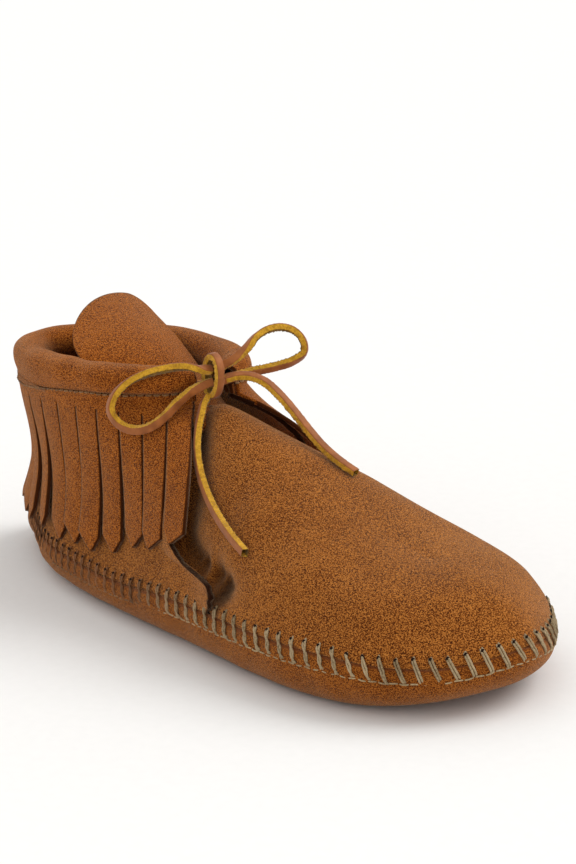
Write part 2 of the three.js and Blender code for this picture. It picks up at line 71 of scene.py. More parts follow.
def stack(x: np.ndarray, y: np.ndarray, z: np.ndarray) -> np.ndarray:
    """Three coordinates as one array of points."""
    return np.stack(np.broadcast_arrays(x, y, z), axis=-1).astype(float)


def unit(vectors: np.ndarray) -> np.ndarray:
    """Vectors scaled to length one."""
    return vectors / np.maximum(np.linalg.norm(vectors, axis=-1, keepdims=True), 1e-9)


def squared(value: np.ndarray, power: float) -> np.ndarray:
    """A sine or cosine raised to a power with its sign kept, which makes a round shape squarer."""
    return np.sign(value) * np.abs(value) ** power


def ripple(points: np.ndarray, size: float, seed: int) -> np.ndarray:
    """A soft uneven field, about -1 to 1, over points.

    Args:
        points: Places in millimetres.
        size: The usual width of a bump in millimetres.
        seed: Picks the pattern.

    Returns:
        One value for each point.
    """
    rng = np.random.default_rng(seed)
    total = np.zeros(points.shape[:-1])
    for _ in range(9):
        direction = unit(rng.normal(size=3))
        length = size * rng.uniform(1.4, 3.2)
        total += np.sin(points @ direction * (2 * math.pi / length) + rng.uniform(0, 2 * math.pi))
    return total / 4.0


def side_edge(uv: np.ndarray, columns: int, reach: float) -> np.ndarray:
    """1 at the two side edges of a grid, falling to 0 as many columns in as the reach."""
    return np.clip(1 - np.minimum(uv[:, 0], 1 - uv[:, 0]) * columns / reach, 0, 1)


class Table:
    """Rows of a few named columns, read smoothly between the rows."""

    def __init__(self, columns: Sequence[str], rows: Sequence[Sequence[float]]) -> None:
        """Keeps the rows by the names of their columns.

        Args:
            columns: The columns' names; the first column is what the table is read by.
            rows: The values, a row for each place.
        """
        values = np.array(rows, float)
        self.keys = values[:, 0]
        self.values = {name: values[:, k] for k, name in enumerate(columns)}

    def read(self, column: str, place: np.ndarray) -> np.ndarray:
        """Reads a column at places between the rows.

        Args:
            column: The column's name.
            place: Where to read, in the units of the first column.

        Returns:
            The column's value at each place.
        """
        keys, values = self.keys, self.values[column]
        slopes = np.empty_like(values)
        slopes[1:-1] = (values[2:] - values[:-2]) / (keys[2:] - keys[:-2])
        slopes[0] = (values[1] - values[0]) / (keys[1] - keys[0])
        slopes[-1] = (values[-1] - values[-2]) / (keys[-1] - keys[-2])
        high = np.clip(np.searchsorted(keys, place), 1, len(keys) - 1)
        low = high - 1
        span = keys[high] - keys[low]
        t = np.clip((place - keys[low]) / span, 0, 1)
        return (
            (2 * t**3 - 3 * t**2 + 1) * values[low]
            + (t**3 - 2 * t**2 + t) * span * slopes[low]
            + (3 * t**2 - 2 * t**3) * values[high]
            + (t**3 - t**2) * span * slopes[high]
        )


SECTIONS = Table(
    ("along", "lateral", "medial", "rise", "fullness"),
    [
        (0.0, 0.0, 0.0, 1.0, 1.7),
        (0.028, 0.135, 0.14, 1.0, 1.7),
        (0.1, 0.25, 0.25, 1.0, 1.7),
        (0.2, 0.375, 0.305, 0.95, 1.7),
        (0.32, 0.427, 0.315, 0.85, 1.7),
        (0.41, 0.444, 0.33, 0.845, 1.7),
        (0.45, 0.45, 0.345, 0.845, 1.75),
        (0.5, 0.457, 0.372, 0.81, 1.8),
        (0.58, 0.468, 0.42, 0.725, 1.95),
        (0.69, 0.485, 0.478, 0.59, 2.15),
        (0.79, 0.468, 0.479, 0.495, 2.3),
        (0.885, 0.398, 0.425, 0.44, 2.35),
        (0.955, 0.255, 0.275, 0.44, 2.35),
        (0.99, 0.085, 0.14, 0.44, 2.35),
        (1.0, -0.03, 0.03, 0.44, 2.35),
    ],
)
FRONT_EDGE = Table(
    ("rise", "back"),
    [
        (0.0, -0.0095), (0.048, -0.0125), (0.1, -0.0162), (0.14, -0.0168), (0.17, -0.0145), (0.19, -0.009),
        (0.203, 0.0), (0.212, 0.013), (0.222, 0.0235), (0.238, 0.032), (0.26, 0.0395), (0.288, 0.0455),
        (0.325, 0.051), (0.4, 0.052), (0.65, 0.032), (1.0, 0.0),
    ],
)
SEAM = Table(
    ("along", "height"),
    [
        (0, 13.4), (30, 13.0), (60, 12.7), (85, 12.6), (105, 13.3), (120, 15.0), (150, 16.5), (180, 17.2),
        (206, 17.1), (218, 15.9), (229, 14.0), (240, 12.1), (247, 11.6), (252, 12.2),
    ],
)
HEM_STITCH = Table(
    ("forward", "drop"),
    [(0, 9.2), (0.3, 8.5), (0.4, 7.4), (0.6, 4.9), (0.8, 3.8), (1.0, 2.8)],
)
FRINGE_BAND = Table(
    ("forward", "band"),
    [(0, 5.2), (0.38, 5.2), (0.55, 3.7), (0.75, 3.1), (1.0, 2.8)],
)
TONGUE_LINE = Table(
    ("along", "height", "shift", "width", "arch"),
    [
        (34, 93.2, 3.2, 43.5, 44),
        (46, 90, 0.4, 44, 44),
        (60, 85.5, -1.6, 43, 45),
        (74, 80, -1.6, 40, 32),
        (86, 74.8, -1, 37, 22),
        (96, 70.2, -2, 31, 20),
        (103, 67.4, -3, 25, 18),
        (109, 66.2, -4.5, 18, 16),
        (113, 65.2, -5, 14, 15),
    ],
)


def spline(points: Sequence[Sequence[float]], closed: bool, count: int) -> np.ndarray:
    """A smooth centripetal curve through points.

    Args:
        points: The places that it passes through.
        closed: Whether it runs back to its start.
        count: How many steps it is cut into.

    Returns:
        count + 1 places along it, in order.
    """
    given = np.array(points, float)
    total = len(given) if closed else len(given) - 1

    def around(i: int) -> np.ndarray:
        """The given point i, with one more point beyond each open end.

        Args:
            i: The point's number.

        Returns:
            Its place.
        """
        if closed:
            return given[i % len(given)]
        if i < 0:
            return 2 * given[0] - given[1]
        if i >= len(given):
            return 2 * given[-1] - given[-2]
        return given[i]

    places = []
    for step in range(count + 1):
        at = step * total / count
        k = min(int(at), total - 1)
        p0, p1, p2, p3 = (around(k + d) for d in (-1, 0, 1, 2))
        t = at - k
        spans = ((p0, p1), (p1, p2), (p2, p3))
        d0, d1, d2 = (max(np.linalg.norm(b - a), 1e-6) ** 0.5 for a, b in spans)
        m1 = ((p1 - p0) / d0 - (p2 - p0) / (d0 + d1) + (p2 - p1) / d1) * d1
        m2 = ((p2 - p1) / d1 - (p3 - p1) / (d1 + d2) + (p3 - p2) / d2) * d1
        a = 2 * p1 - 2 * p2 + m1 + m2
        b = -3 * p1 + 3 * p2 - 2 * m1 - m2
        places.append(p1 + m1 * t + b * t * t + a * t**3)
    return np.array(places)


def evenly(line: np.ndarray, count: int) -> np.ndarray:
    """A line cut into equal steps along its length.

    Args:
        line: Places along it.
        count: How many steps.

    Returns:
        count + 1 places, evenly spaced.
    """
    travelled = np.concatenate([[0], np.cumsum(np.linalg.norm(np.diff(line, axis=0), axis=1))])
    at = np.linspace(0, travelled[-1], count + 1)
    return np.stack([np.interp(at, travelled, line[:, k]) for k in range(line.shape[1])], axis=1)


class Side(Enum):
    """The two sides of the foot, by the way that the outline is walked on each."""

    OUTER = 1
    INNER = -1


@dataclass
class Edge:
    """One side of the sole's outline from heel to toe, as a table."""

    points: np.ndarray
    outward: np.ndarray
    travelled: np.ndarray

    def at(self, measure: np.ndarray, value: np.ndarray) -> tuple[np.ndarray, np.ndarray]:
        """The places and outward directions where a rising measure reaches values.

        Args:
            measure: The measure at each of the edge's points.
            value: Where to read.

        Returns:
            The places and the outward directions there.
        """
        points, outward = (
            np.stack([np.interp(value, measure, table[:, k]) for k in (0, 1)], axis=-1)
            for table in (self.points, self.outward)
        )
        return points, unit(outward)


@dataclass
class Last:
    """The form that the boot is made on. Sizes are in millimetres from the heel's end."""

    length: float = 251.0
    ball_width: float = 94.0
    instep_height: float = 84.0
    toe_spring: float = 8.2
    arch_lift: float = 1.2
    heel_focus: float = 30.0
    toe_focus: float = 42.0
    seam_height: float = 15.0
    widest_height: float = 11.0
    sole_round: float = 11.0
    rim_lean: float = 0.8
    sole_wall: float = 2.2
    wall: float = 1.7
    clearance: float = 0.3
    collar_height: float = 74.0
    collar_rise: float = 4.0
    collar_drop: float = 2.0
    collar_length: float = 94.0
    collar_width: float = 53.0
    collar_set_in: float = 11.5
    collar_gap: float = 13.0
    collar_bend: float = 2.15
    hem_depth: float = 6.2
    quarter_front: float = 149.0
    quarter_waist: float = 1.6
    vamp_back: float = 103.0
    vamp_back_low: float = 106.0
    throat_pinch: float = 9.0
    spring_start: float = 0.78
    arch_from: float = 0.24
    arch_span: float = 0.3
    arch_side: tuple[float, float] = (-0.1, 0.3)
    side_bend: float = 2.2
    front_bend: float = 2.7
    front_power: int = 3
    bulge: float = 2.1
    bulge_height: float = 11.0
    turn_in: float = 1.7
    outline_steps: int = 2880
    collar_steps: int = 1200
    origin: np.ndarray = field(default_factory=lambda: np.zeros(3))

    def __post_init__(self) -> None:
        """Draws the outline and the collar's line once."""
        along = SECTIONS.values["along"] * self.length
        lateral = -SECTIONS.values["lateral"] * self.ball_width
        medial = SECTIONS.values["medial"] * self.ball_width
        outer = [(x, y, 0) for x, y in zip(along, lateral)]
        inner = [(x, y, 0) for x, y in zip(along, medial)][1:-1]
        ring = spline(outer + inner[::-1], True, self.outline_steps)[:-1, :2]
        heel, toe = int(ring[:, 0].argmin()), int(ring[:, 0].argmax())
        self.heel_end, self.toe_end = ring[heel, 0], ring[toe, 0]
        self.edges = {side: self._edge(ring, heel, toe, side.value) for side in Side}
        collar = evenly(self._collar_oval(np.linspace(0, 1, 1600)), self.collar_steps)
        along = np.gradient(collar[:, :2], axis=0)
        self._collar = collar
        self._collar_out = unit(np.stack([-along[:, 1], along[:, 0]], axis=-1))
        self.collar_length_round = float(np.linalg.norm(np.diff(collar, axis=0), axis=1).sum())
        low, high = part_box("sole")
        middle_y = (ring[:, 1].min() + ring[:, 1].max()) / 2
        sole_y = (low.y + high.y) / 2
        self.origin = np.array([self.heel_end - low.x / MM, middle_y - sole_y / MM, -low.z / MM])

    def _edge(self, ring: np.ndarray, heel: int, toe: int, step: int) -> Edge:
        """One side of the ring, walked from heel to toe.

        Args:
            ring: The whole outline.
            heel: The number of its point at the heel's end.
            toe: The number of its point at the toe's end.
            step: 1 to walk the outer side, -1 for the inner one.

        Returns:
            The side.
        """
        count = (toe - heel) * step % len(ring)
        points = ring[(heel + step * np.arange(count + 1)) % len(ring)]
        travelled = np.concatenate([[0], np.cumsum(np.linalg.norm(np.diff(points, axis=0), axis=1))])
        along = np.gradient(points, axis=0)
        out = unit(np.stack([along[:, 1] * step, -along[:, 0] * step], axis=-1))
        out[0], out[-1] = (-1, 0), (1, 0)
        return Edge(points, out, travelled)

    def _collar_oval(self, share: np.ndarray) -> np.ndarray:
        """The collar's centre line before it is stepped evenly.

        Args:
            share: Share of the way from the outer front round the heel to the inner front.

        Returns:
            Places in millimetres.
        """
        opening = math.asin(self.collar_gap / self.collar_width)
        angle = lerp(opening, 2 * math.pi - opening, share)
        power = 2 / self.collar_bend
        forward = (1 + squared(np.cos(angle), power)) / 2
        y = -(self.collar_width / 2) * squared(np.sin(angle), power)
        drop = self.collar_drop * ease(y, -self.collar_width / 2, self.collar_width / 2)
        x = self.heel_end + self.collar_set_in + self.collar_length * forward
        return stack(x, y, self.collar_height + self.collar_rise * forward - drop)

    def _on_side(
        self, inner: np.ndarray, measures: Sequence[np.ndarray], value: np.ndarray
    ) -> tuple[np.ndarray, np.ndarray]:
        """Places on the outline where a side's own measure reaches values.

        Args:
            inner: True where the place is on the inner side.
            measures: The measure along the outer and the inner side.
            value: Where to read.

        Returns:
            The places and their outward directions.
        """
        sides = [edge.at(measure, value) for edge, measure in zip(self.edges.values(), measures)]
        pick = np.asarray(inner)[..., None]
        return np.where(pick, sides[1][0], sides[0][0]), np.where(pick, sides[1][1], sides[0][1])

    def on_outline(self, inner: np.ndarray, x: np.ndarray) -> tuple[np.ndarray, np.ndarray]:
        """Places on the outline by distance from the heel.

        Args:
            inner: True where the place is on the inner side.
            x: Distance from the heel.

        Returns:
            The places and their outward directions.
        """
        return self._on_side(inner, [edge.points[:, 0] for edge in self.edges.values()], x)

    def along_outline(self, inner: np.ndarray, distance: np.ndarray) -> tuple[np.ndarray, np.ndarray]:
        """Places and outward directions by distance walked along the outline from the heel."""
        return self._on_side(inner, [edge.travelled for edge in self.edges.values()], distance)

    def seam_at(self, x: np.ndarray) -> np.ndarray:
        """The seam's height over the bottom, which is lowest at the toe and the heel."""
        return SEAM.read("height", x)

    def floor_lift(self, x: np.ndarray, y: np.ndarray) -> np.ndarray:
        """How far the bottom lifts off the floor at the toe and under the arch.

        Args:
            x: Distance from the heel.
            y: Distance towards the inner side.

        Returns:
            The lift in millimetres.
        """
        share = x / self.length
        toe = np.maximum(0, (share - self.spring_start) / (1 - self.spring_start))
        arch = np.sin(math.pi * np.clip((share - self.arch_from) / self.arch_span, 0, 1)) ** 2
        inner = ease(y, *(side * self.ball_width for side in self.arch_side))
        return self.toe_spring * toe**2 + self.arch_lift * arch * inner

    def inset(
        self, place: tuple[np.ndarray, np.ndarray], depth: np.ndarray, height: np.ndarray
    ) -> np.ndarray:
        """Points a depth inside the outline and a height above the shoe's bottom.

        Args:
            place: Places on the outline and their outward directions.
            depth: How far inside it.
            height: How far above the bottom.

        Returns:
            Places in millimetres.
        """
        flat = place[0] - place[1] * np.asarray(depth)[..., None]
        x, y = flat[..., 0], flat[..., 1]
        return stack(x, y, height + self.floor_lift(x, y))

    def spine(self, x: np.ndarray) -> tuple[np.ndarray, np.ndarray]:
        """Where the middle line lies that sections close onto.

        Args:
            x: Distance of the section from the heel.

        Returns:
            The middle line's x and y there.
        """
        from_toe = np.maximum(0, (x - (self.toe_end - 2 * self.toe_focus)) / (2 * self.toe_focus))
        from_heel = np.maximum(0, (self.heel_end + 2 * self.heel_focus - x) / (2 * self.heel_focus))
        along = x - self.toe_focus * from_toe**2 + self.heel_focus * from_heel**2
        low = self.on_outline(np.zeros(along.shape, bool), along)[0][..., 1]
        high = self.on_outline(np.ones(along.shape, bool), along)[0][..., 1]
        return along, (low + high) / 2

    def collar_at(self, share: np.ndarray) -> np.ndarray:
        """Points on the collar's centre line, from the outer front round the heel to the inner front.

        Args:
            share: Share of the way round the collar.

        Returns:
            Places in millimetres.
        """
        at = np.clip(share, 0, 1) * self.collar_steps
        steps = np.arange(self.collar_steps + 1)
        return np.stack([np.interp(at, steps, self._collar[:, k]) for k in range(3)], axis=-1)

    def collar_out(self, share: np.ndarray) -> np.ndarray:
        """The level directions out of the collar's line.

        Args:
            share: Share of the way round the collar.

        Returns:
            Directions of length one.
        """
        at = np.clip(share, 0, 1) * self.collar_steps
        x, y = (np.interp(at, np.arange(self.collar_steps + 1), self._collar_out[:, k]) for k in (0, 1))
        return stack(x, y, np.zeros_like(x))

    def quarter_place(self, share: np.ndarray) -> tuple[np.ndarray, np.ndarray]:
        """Places on the outline under the quarter.

        Args:
            share: Share of the way from the outer front edge round the heel to the inner one.

        Returns:
            The places and their outward directions.
        """
        edges = self.edges.values()
        outer, inner = (np.interp(self.quarter_front, e.points[:, 0], e.travelled) for e in edges)
        is_inner = share >= 0.5
        return self.along_outline(is_inner, np.abs(1 - 2 * share) * np.where(is_inner, inner, outer))

    def quarter_point(self, share: np.ndarray, rise: np.ndarray) -> np.ndarray:
        """Points on the quarter's outer face.

        Args:
            share: Share of the way from the outer front edge round the heel to the inner one.
            rise: Share of the way from the seam to the hem.

        Returns:
            Places in millimetres.
        """
        place = self.quarter_place(share)
        depth = self.rim_lean + self.sole_wall + self.clearance
        base = self.inset(place, depth, self.seam_at(place[0][..., 0]))
        top = self.collar_at(share)
        top[..., 2] -= self.hem_depth + self.clearance
        front = np.abs(1 - 2 * share) ** self.front_power
        safe = np.clip(rise, 0, 1)
        inward = lerp(1 - (1 - safe) ** self.side_bend, safe**self.front_bend, front)
        x = lerp(base[..., 0], top[..., 0], inward)
        y = lerp(base[..., 1], top[..., 1], inward)
        z = lerp(base[..., 2], top[..., 2], rise)
        waist = self.quarter_waist * np.sin(math.pi * safe) * (1 - front)
        return stack(x, y, z) - self.collar_out(share) * waist[..., None]

    @property
    def hem_height(self) -> float:
        """The height of the hem's lower edge at the front."""
        return self.collar_height - self.hem_depth - self.clearance

    def seam_bulge(self, above: np.ndarray) -> np.ndarray:
        """How far the leather stands out just above the seam, and turns into it."""
        stands_out = self.bulge * (1 - ease(above, 0.5, self.bulge_height))
        return stands_out - self.turn_in * (1 - ease(above, -0.6, 1.2))

    def world(self, points: np.ndarray) -> np.ndarray:
        """Millimetres from the heel turned into the frame's metres."""
        return (points - self.origin) * MM


class Wire:
    """A socket of a material's nodes that is used like a number."""

    def __init__(self, shader: "Shader", socket: bpy.types.NodeSocket) -> None:
        """Keeps the socket and the material it belongs to."""
        self.shader = shader
        self.socket = socket

    def _math(self, operation: str, *values: "Wire | float") -> "Wire":
        """One Math node."""
        return self.shader.node("ShaderNodeMath", {"operation": operation}, dict(enumerate(values)))

    def __add__(self, other: "Wire | float") -> "Wire":
        """Sum."""
        return self._math("ADD", self, other)

    __radd__ = __add__

    def __mul__(self, other: "Wire | float") -> "Wire":
        """Product."""
        return self._math("MULTIPLY", self, other)

    __rmul__ = __mul__

    def __sub__(self, other: "Wire | float") -> "Wire":
        """Difference."""
        return self._math("SUBTRACT", self, other)

    def __rsub__(self, other: float) -> "Wire":
        """Difference from a number."""
        return self._math("SUBTRACT", other, self)

    def above(self, low: float, high: float) -> "Wire":
        """A smooth step from 0 at low to 1 at high.

        Args:
            low: Where the step starts.
            high: Where it ends.

        Returns:
            The step.
        """
        settings = {"interpolation_type": "SMOOTHSTEP"}
        inputs = {"Value": self, "From Min": low, "From Max": high}
        return self.shader.node("ShaderNodeMapRange", settings, inputs)


class Shader:
    """The nodes of one material."""

    def __init__(self, name: str) -> None:
        """Starts a material with its shader and output.

        Args:
            name: The material's name.
        """
        self.material = bpy.data.materials.new(name)
        self.material.use_nodes = True
        self.tree = self.material.node_tree
        self.surface = self.tree.nodes["Principled BSDF"]

    def node(
        self, kind: str, settings: dict | None = None, inputs: dict | None = None, output: int | str = 0
    ) -> Wire:
        """Adds a node of any type.

        Args:
            kind: The node's type.
            settings: Its properties; stops are the stops of a ramp.
            inputs: A number, colour or wire for sockets by name or number.
            output: Which of its outputs to use.

        Returns:
            The output as a wire.
        """
        made = self.tree.nodes.new(kind)
        for key, value in (settings or {}).items():
            if key == "stops":
                self._stops(made.color_ramp, value)
            else:
                setattr(made, key, value)
        for key, value in (inputs or {}).items():
            self.feed(made.inputs[key], value)
        return Wire(self, made.outputs[output])

    def _stops(self, ramp: bpy.types.ColorRamp, stops: Sequence[tuple[float, Sequence[float]]]) -> None:
        """Sets the stops of a colour ramp.

        Args:
            ramp: The ramp.
            stops: The place and the colour of each stop.
        """
        while len(ramp.elements) < len(stops):
            ramp.elements.new(1.0)
        for element, (place, colour) in zip(ramp.elements, stops):
            element.position = place
            element.color = (*colour, 1)

    def feed(self, socket: bpy.types.NodeSocket, value: "Wire | float | Sequence[float]") -> None:
        """Links a wire to a socket, or sets its value.

        Args:
            socket: The socket.
            value: A wire, or the value itself.
        """
        if isinstance(value, Wire):
            self.tree.links.new(value.socket, socket)
        else:
            socket.default_value = value

    def set(self, **values: "Wire | float | Sequence[float]") -> None:
        """Feeds the surface shader's sockets, named with underscores for spaces."""
        for name, value in values.items():
            self.feed(self.surface.inputs[name.replace("_", " ")], value)

    def noise(self, where: Wire, size: float, detail: float = 2.0, rough: float = 0.5) -> Wire:
        """Noise whose lumps are about a size in metres."""
        inputs = {"Vector": where, "Scale": 1 / size, "Detail": detail, "Roughness": rough}
        return self.node("ShaderNodeTexNoise", {}, inputs)

    def mix(
        self, share: "Wire | float", first: "Wire | Sequence[float]", second: "Wire | Sequence[float]"
    ) -> Wire:
        """A colour between two."""
        return self.node("ShaderNodeMix", {"data_type": "RGBA"}, {0: share, 6: first, 7: second}, 2)

    def mapped(self, where: Wire, scale: Sequence[float], turn: Sequence[float] = (0, 0, 0)) -> Wire:
        """Coordinates stretched and turned."""
        return self.node("ShaderNodeMapping", {}, {"Vector": where, "Scale": scale, "Rotation": turn})

    def bump(self, height: Wire, distance: float, strength: float = 1.0) -> Wire:
        """A surface normal from a height; the distance is how high 1 is, in metres."""
        inputs = {"Height": height, "Distance": distance, "Strength": strength}
        return self.node("ShaderNodeBump", {}, inputs)


def paint(hexed: str) -> tuple[float, float, float, float]:
    """A colour written as six hexadecimal digits, as the renderer's linear light.

    Args:
        hexed: The colour's digits.

    Returns:
        Red, green, blue and an opacity of 1.
    """
    parts = [int(hexed[k : k + 2], 16) / 255 for k in (0, 2, 4)]
    linear = [v / 12.92 if v <= 0.04045 else ((v + 0.055) / 1.055) ** 2.4 for v in parts]
    return (*linear, 1.0)


@dataclass(frozen=True)
class Suede:
    """Napped leather: a fine mottled nap, brushed patches, raw edges where it is cut, and painted shade
    where a mesh carries a shade mark.
    """

    name: str
    deep: str
    base: str
    light: str
    nap: float = 0.00034
    contrast: float = 3.2
    raw: str = "7d4a24"
    # Colour of the painted shade that the shade attribute mixes in.
    shaded: str = "1c0c05"
    cut_edges: bool = True
    patch_size: float = 0.009
    cloud_size: float = 0.035
    fray_size: float = 0.0012
    relief: float = 0.00042
    sheen_tint: tuple[float, float, float, float] = (1.0, 0.67, 0.41, 1.0)

    def material(self) -> bpy.types.Material:
        """Makes the suede.

        Returns:
            The material.
        """
        s = Shader(self.name)
        where = s.node("ShaderNodeTexCoord", output="Object")
        fine = s.noise(where, self.nap, 3, 0.65)
        brushed = s.noise(s.mapped(where, (1, 1, 2.2), (0.4, 0.3, 0.5)), self.nap * 1.9, 2, 0.6)
        patch = s.noise(where, self.patch_size, 3, 0.55)
        cloud = s.noise(where, self.cloud_size, 2, 0.5)
        tone = (fine - 0.5) * (1.9 * self.contrast) + (brushed - 0.5) * (0.7 * self.contrast)
        tone = tone + (patch - 0.5) * 0.3 + (cloud - 0.5) * 0.35 + 0.5
        tones = ((0.08, self.deep), (0.5, self.base), (0.92, self.light))
        stops = [(place, paint(colour)[:3]) for place, colour in tones]
        colour = s.node("ShaderNodeValToRGB", {"stops": stops}, {"Fac": tone})
        if self.cut_edges:
            edge = s.node("ShaderNodeAttribute", {"attribute_name": "edge"}, output="Fac")
            ragged = (edge + (s.noise(where, self.fray_size, 2) - 0.5) * 0.5).above(0.35, 0.75)
            colour = s.mix(ragged, colour, paint(self.raw))
            # Painted shade: the shade attribute darkens the colour towards the shaded colour, as on the
            # vamp beside the quarter's edges.
            shade = s.node("ShaderNodeAttribute", {"attribute_name": "shade"}, output="Fac")
            colour = s.mix(shade, colour, paint(self.shaded))
        height = fine * 0.7 + brushed * 0.5 + s.noise(where, self.nap * 0.45, 2) * 0.35
        s.set(
            Base_Color=colour,
            Roughness=0.92,
            Specular_IOR_Level=0.06,
            Sheen_Weight=0.46,
            Sheen_Roughness=0.3,
            Sheen_Tint=self.sheen_tint,
            Normal=s.bump(height, self.relief, 0.85),
        )
        return s.material


@dataclass(frozen=True)
class Thong:
    """Raw cut hide lace: a smooth tan grain side, and a fuzzy yellow flesh side and edges."""

    name: str = "thong_hide"
    grain: str = "a8632d"
    grain_deep: str = "874b1e"
    cut: str = "dda72d"
    cut_deep: str = "a47418"
    flesh: str = "997327"
    flesh_deep: str = "553910"
    fibre_size: float = 0.0006
    clump_size: float = 0.0021
    relief: float = 0.0005

    def material(self) -> bpy.types.Material:
        """Makes the lace's hide.

        Returns:
            The material.
        """
        s = Shader(self.name)
        where = s.node("ShaderNodeTexCoord", output="Object")
        side = s.node("ShaderNodeAttribute", {"attribute_name": "edge"}, output="Fac")
        fibre = s.noise(where, self.fibre_size, 3, 0.7)
        clump = s.noise(where, self.clump_size, 2, 0.5)
        fibres = (fibre * 0.6 + clump * 0.5).above(0.34, 0.72)
        inner = (side * -1.0 + (fibre - 0.5) * 0.3).above(0.4, 0.62)
        edges = s.mix(fibres, paint(self.cut_deep), paint(self.cut))
        fuzzy = s.mix(inner, edges, s.mix(fibres, paint(self.flesh_deep), paint(self.flesh)))
        rubbed = s.noise(where, 0.004, 3).above(0.25, 0.8)
        smooth = s.mix(rubbed, paint(self.grain_deep), paint(self.grain))
        top = (side + (fibre - 0.5) * 0.3).above(0.44, 0.58)
        flesh_height = (1 - top) * (fibre * 0.8 + clump * 0.5)
        grain_height = s.noise(where, 0.0009, 2) * top * 0.12
        s.set(
            Base_Color=s.mix(top, fuzzy, smooth),
            Roughness=top * -0.35 + 0.92,
            Specular_IOR_Level=0.3,
            Sheen_Weight=0.15,
            Sheen_Roughness=0.4,
            Normal=s.bump(flesh_height + grain_height, self.relief, 0.9),
        )
        return s.material


@dataclass(frozen=True)
class Thread:
    """Waxed sewing thread, faintly twisted."""

    name: str
    colour: str
    deep: str
    old: str
    old_deep: str = "53310f"
    strand_size: float = 0.0005
    patch_size: float = 0.012

    def material(self) -> bpy.types.Material:
        """Makes the thread.

        Returns:
            The material.
        """
        s = Shader(self.name)
        where = s.node("ShaderNodeTexCoord", output="Object")
        strand = s.noise(where, self.strand_size, 2, 0.6)
        patch = s.noise(where, self.patch_size, 2, 0.5)
        tone = (strand * 0.6 + patch * 0.6).above(0.35, 0.8)
        along = s.node("ShaderNodeSeparateXYZ", {}, {"Vector": where})
        worn = (along + (patch - 0.5) * 0.02).above(-0.03, 0.04)
        fresh = s.mix(tone, paint(self.deep), paint(self.colour))
        dull = s.mix(tone, paint(self.old_deep), paint(self.old))
        s.set(
            Base_Color=s.mix(worn, dull, fresh),
            Roughness=0.62,
            Specular_IOR_Level=0.35,
            Normal=s.bump(strand, 0.0002, 0.8),
        )
        return s.material


@dataclass(frozen=True)
class Plain:
    """An even finish for the floor and for the dark of a stitch hole."""

    name: str
    colour: str
    roughness: float = 0.9

    def material(self) -> bpy.types.Material:
        """Makes the even finish with a faint unevenness.

        Returns:
            The material.
        """
        s = Shader(self.name)
        where = s.node("ShaderNodeTexCoord", output="Object")
        tone = s.noise(where, 0.004, 2)
        base = paint(self.colour)
        darker = tuple(v * 0.96 for v in base[:3]) + (1.0,)
        s.set(Base_Color=s.mix(tone, darker, base), Roughness=self.roughness, Specular_IOR_Level=0.2)
        return s.material


class Finishes:
    """Every finish of the boot, made once."""

    def __init__(self) -> None:
        """Makes the materials."""
        # The lining is darker than the upper: partly the inner leather's own darker brown, partly painted
        # shade for the dim inside of the boot.
        lining = Suede("suede_lining", "4a2a12", "70461f", "8f6130", contrast=0.7, cut_edges=False)
        self.upper = Suede("suede_upper", "431f09", "844314", "be7935", raw="291206").material()
        self.fringe = Suede("suede_fringe", "461f08", "884010", "b96d27", raw="45210a").material()
        self.sole = Suede("suede_sole", "441e08", "804013", "a96526", raw="753f1f").material()
        self.lining = lining.material()
        self.lace = Thong().material()
        self.whip = Thread("whip_thread", "b29c78", "66502f", "8a5a33").material()
        self.hem = Thread("hem_thread", "bda57c", "6e5433", "9c7348").material()
        self.hole = Plain("stitch_hole", "1a0c05").material()
        self.floor = Plain("floor_paper", "f6f5f3").material()


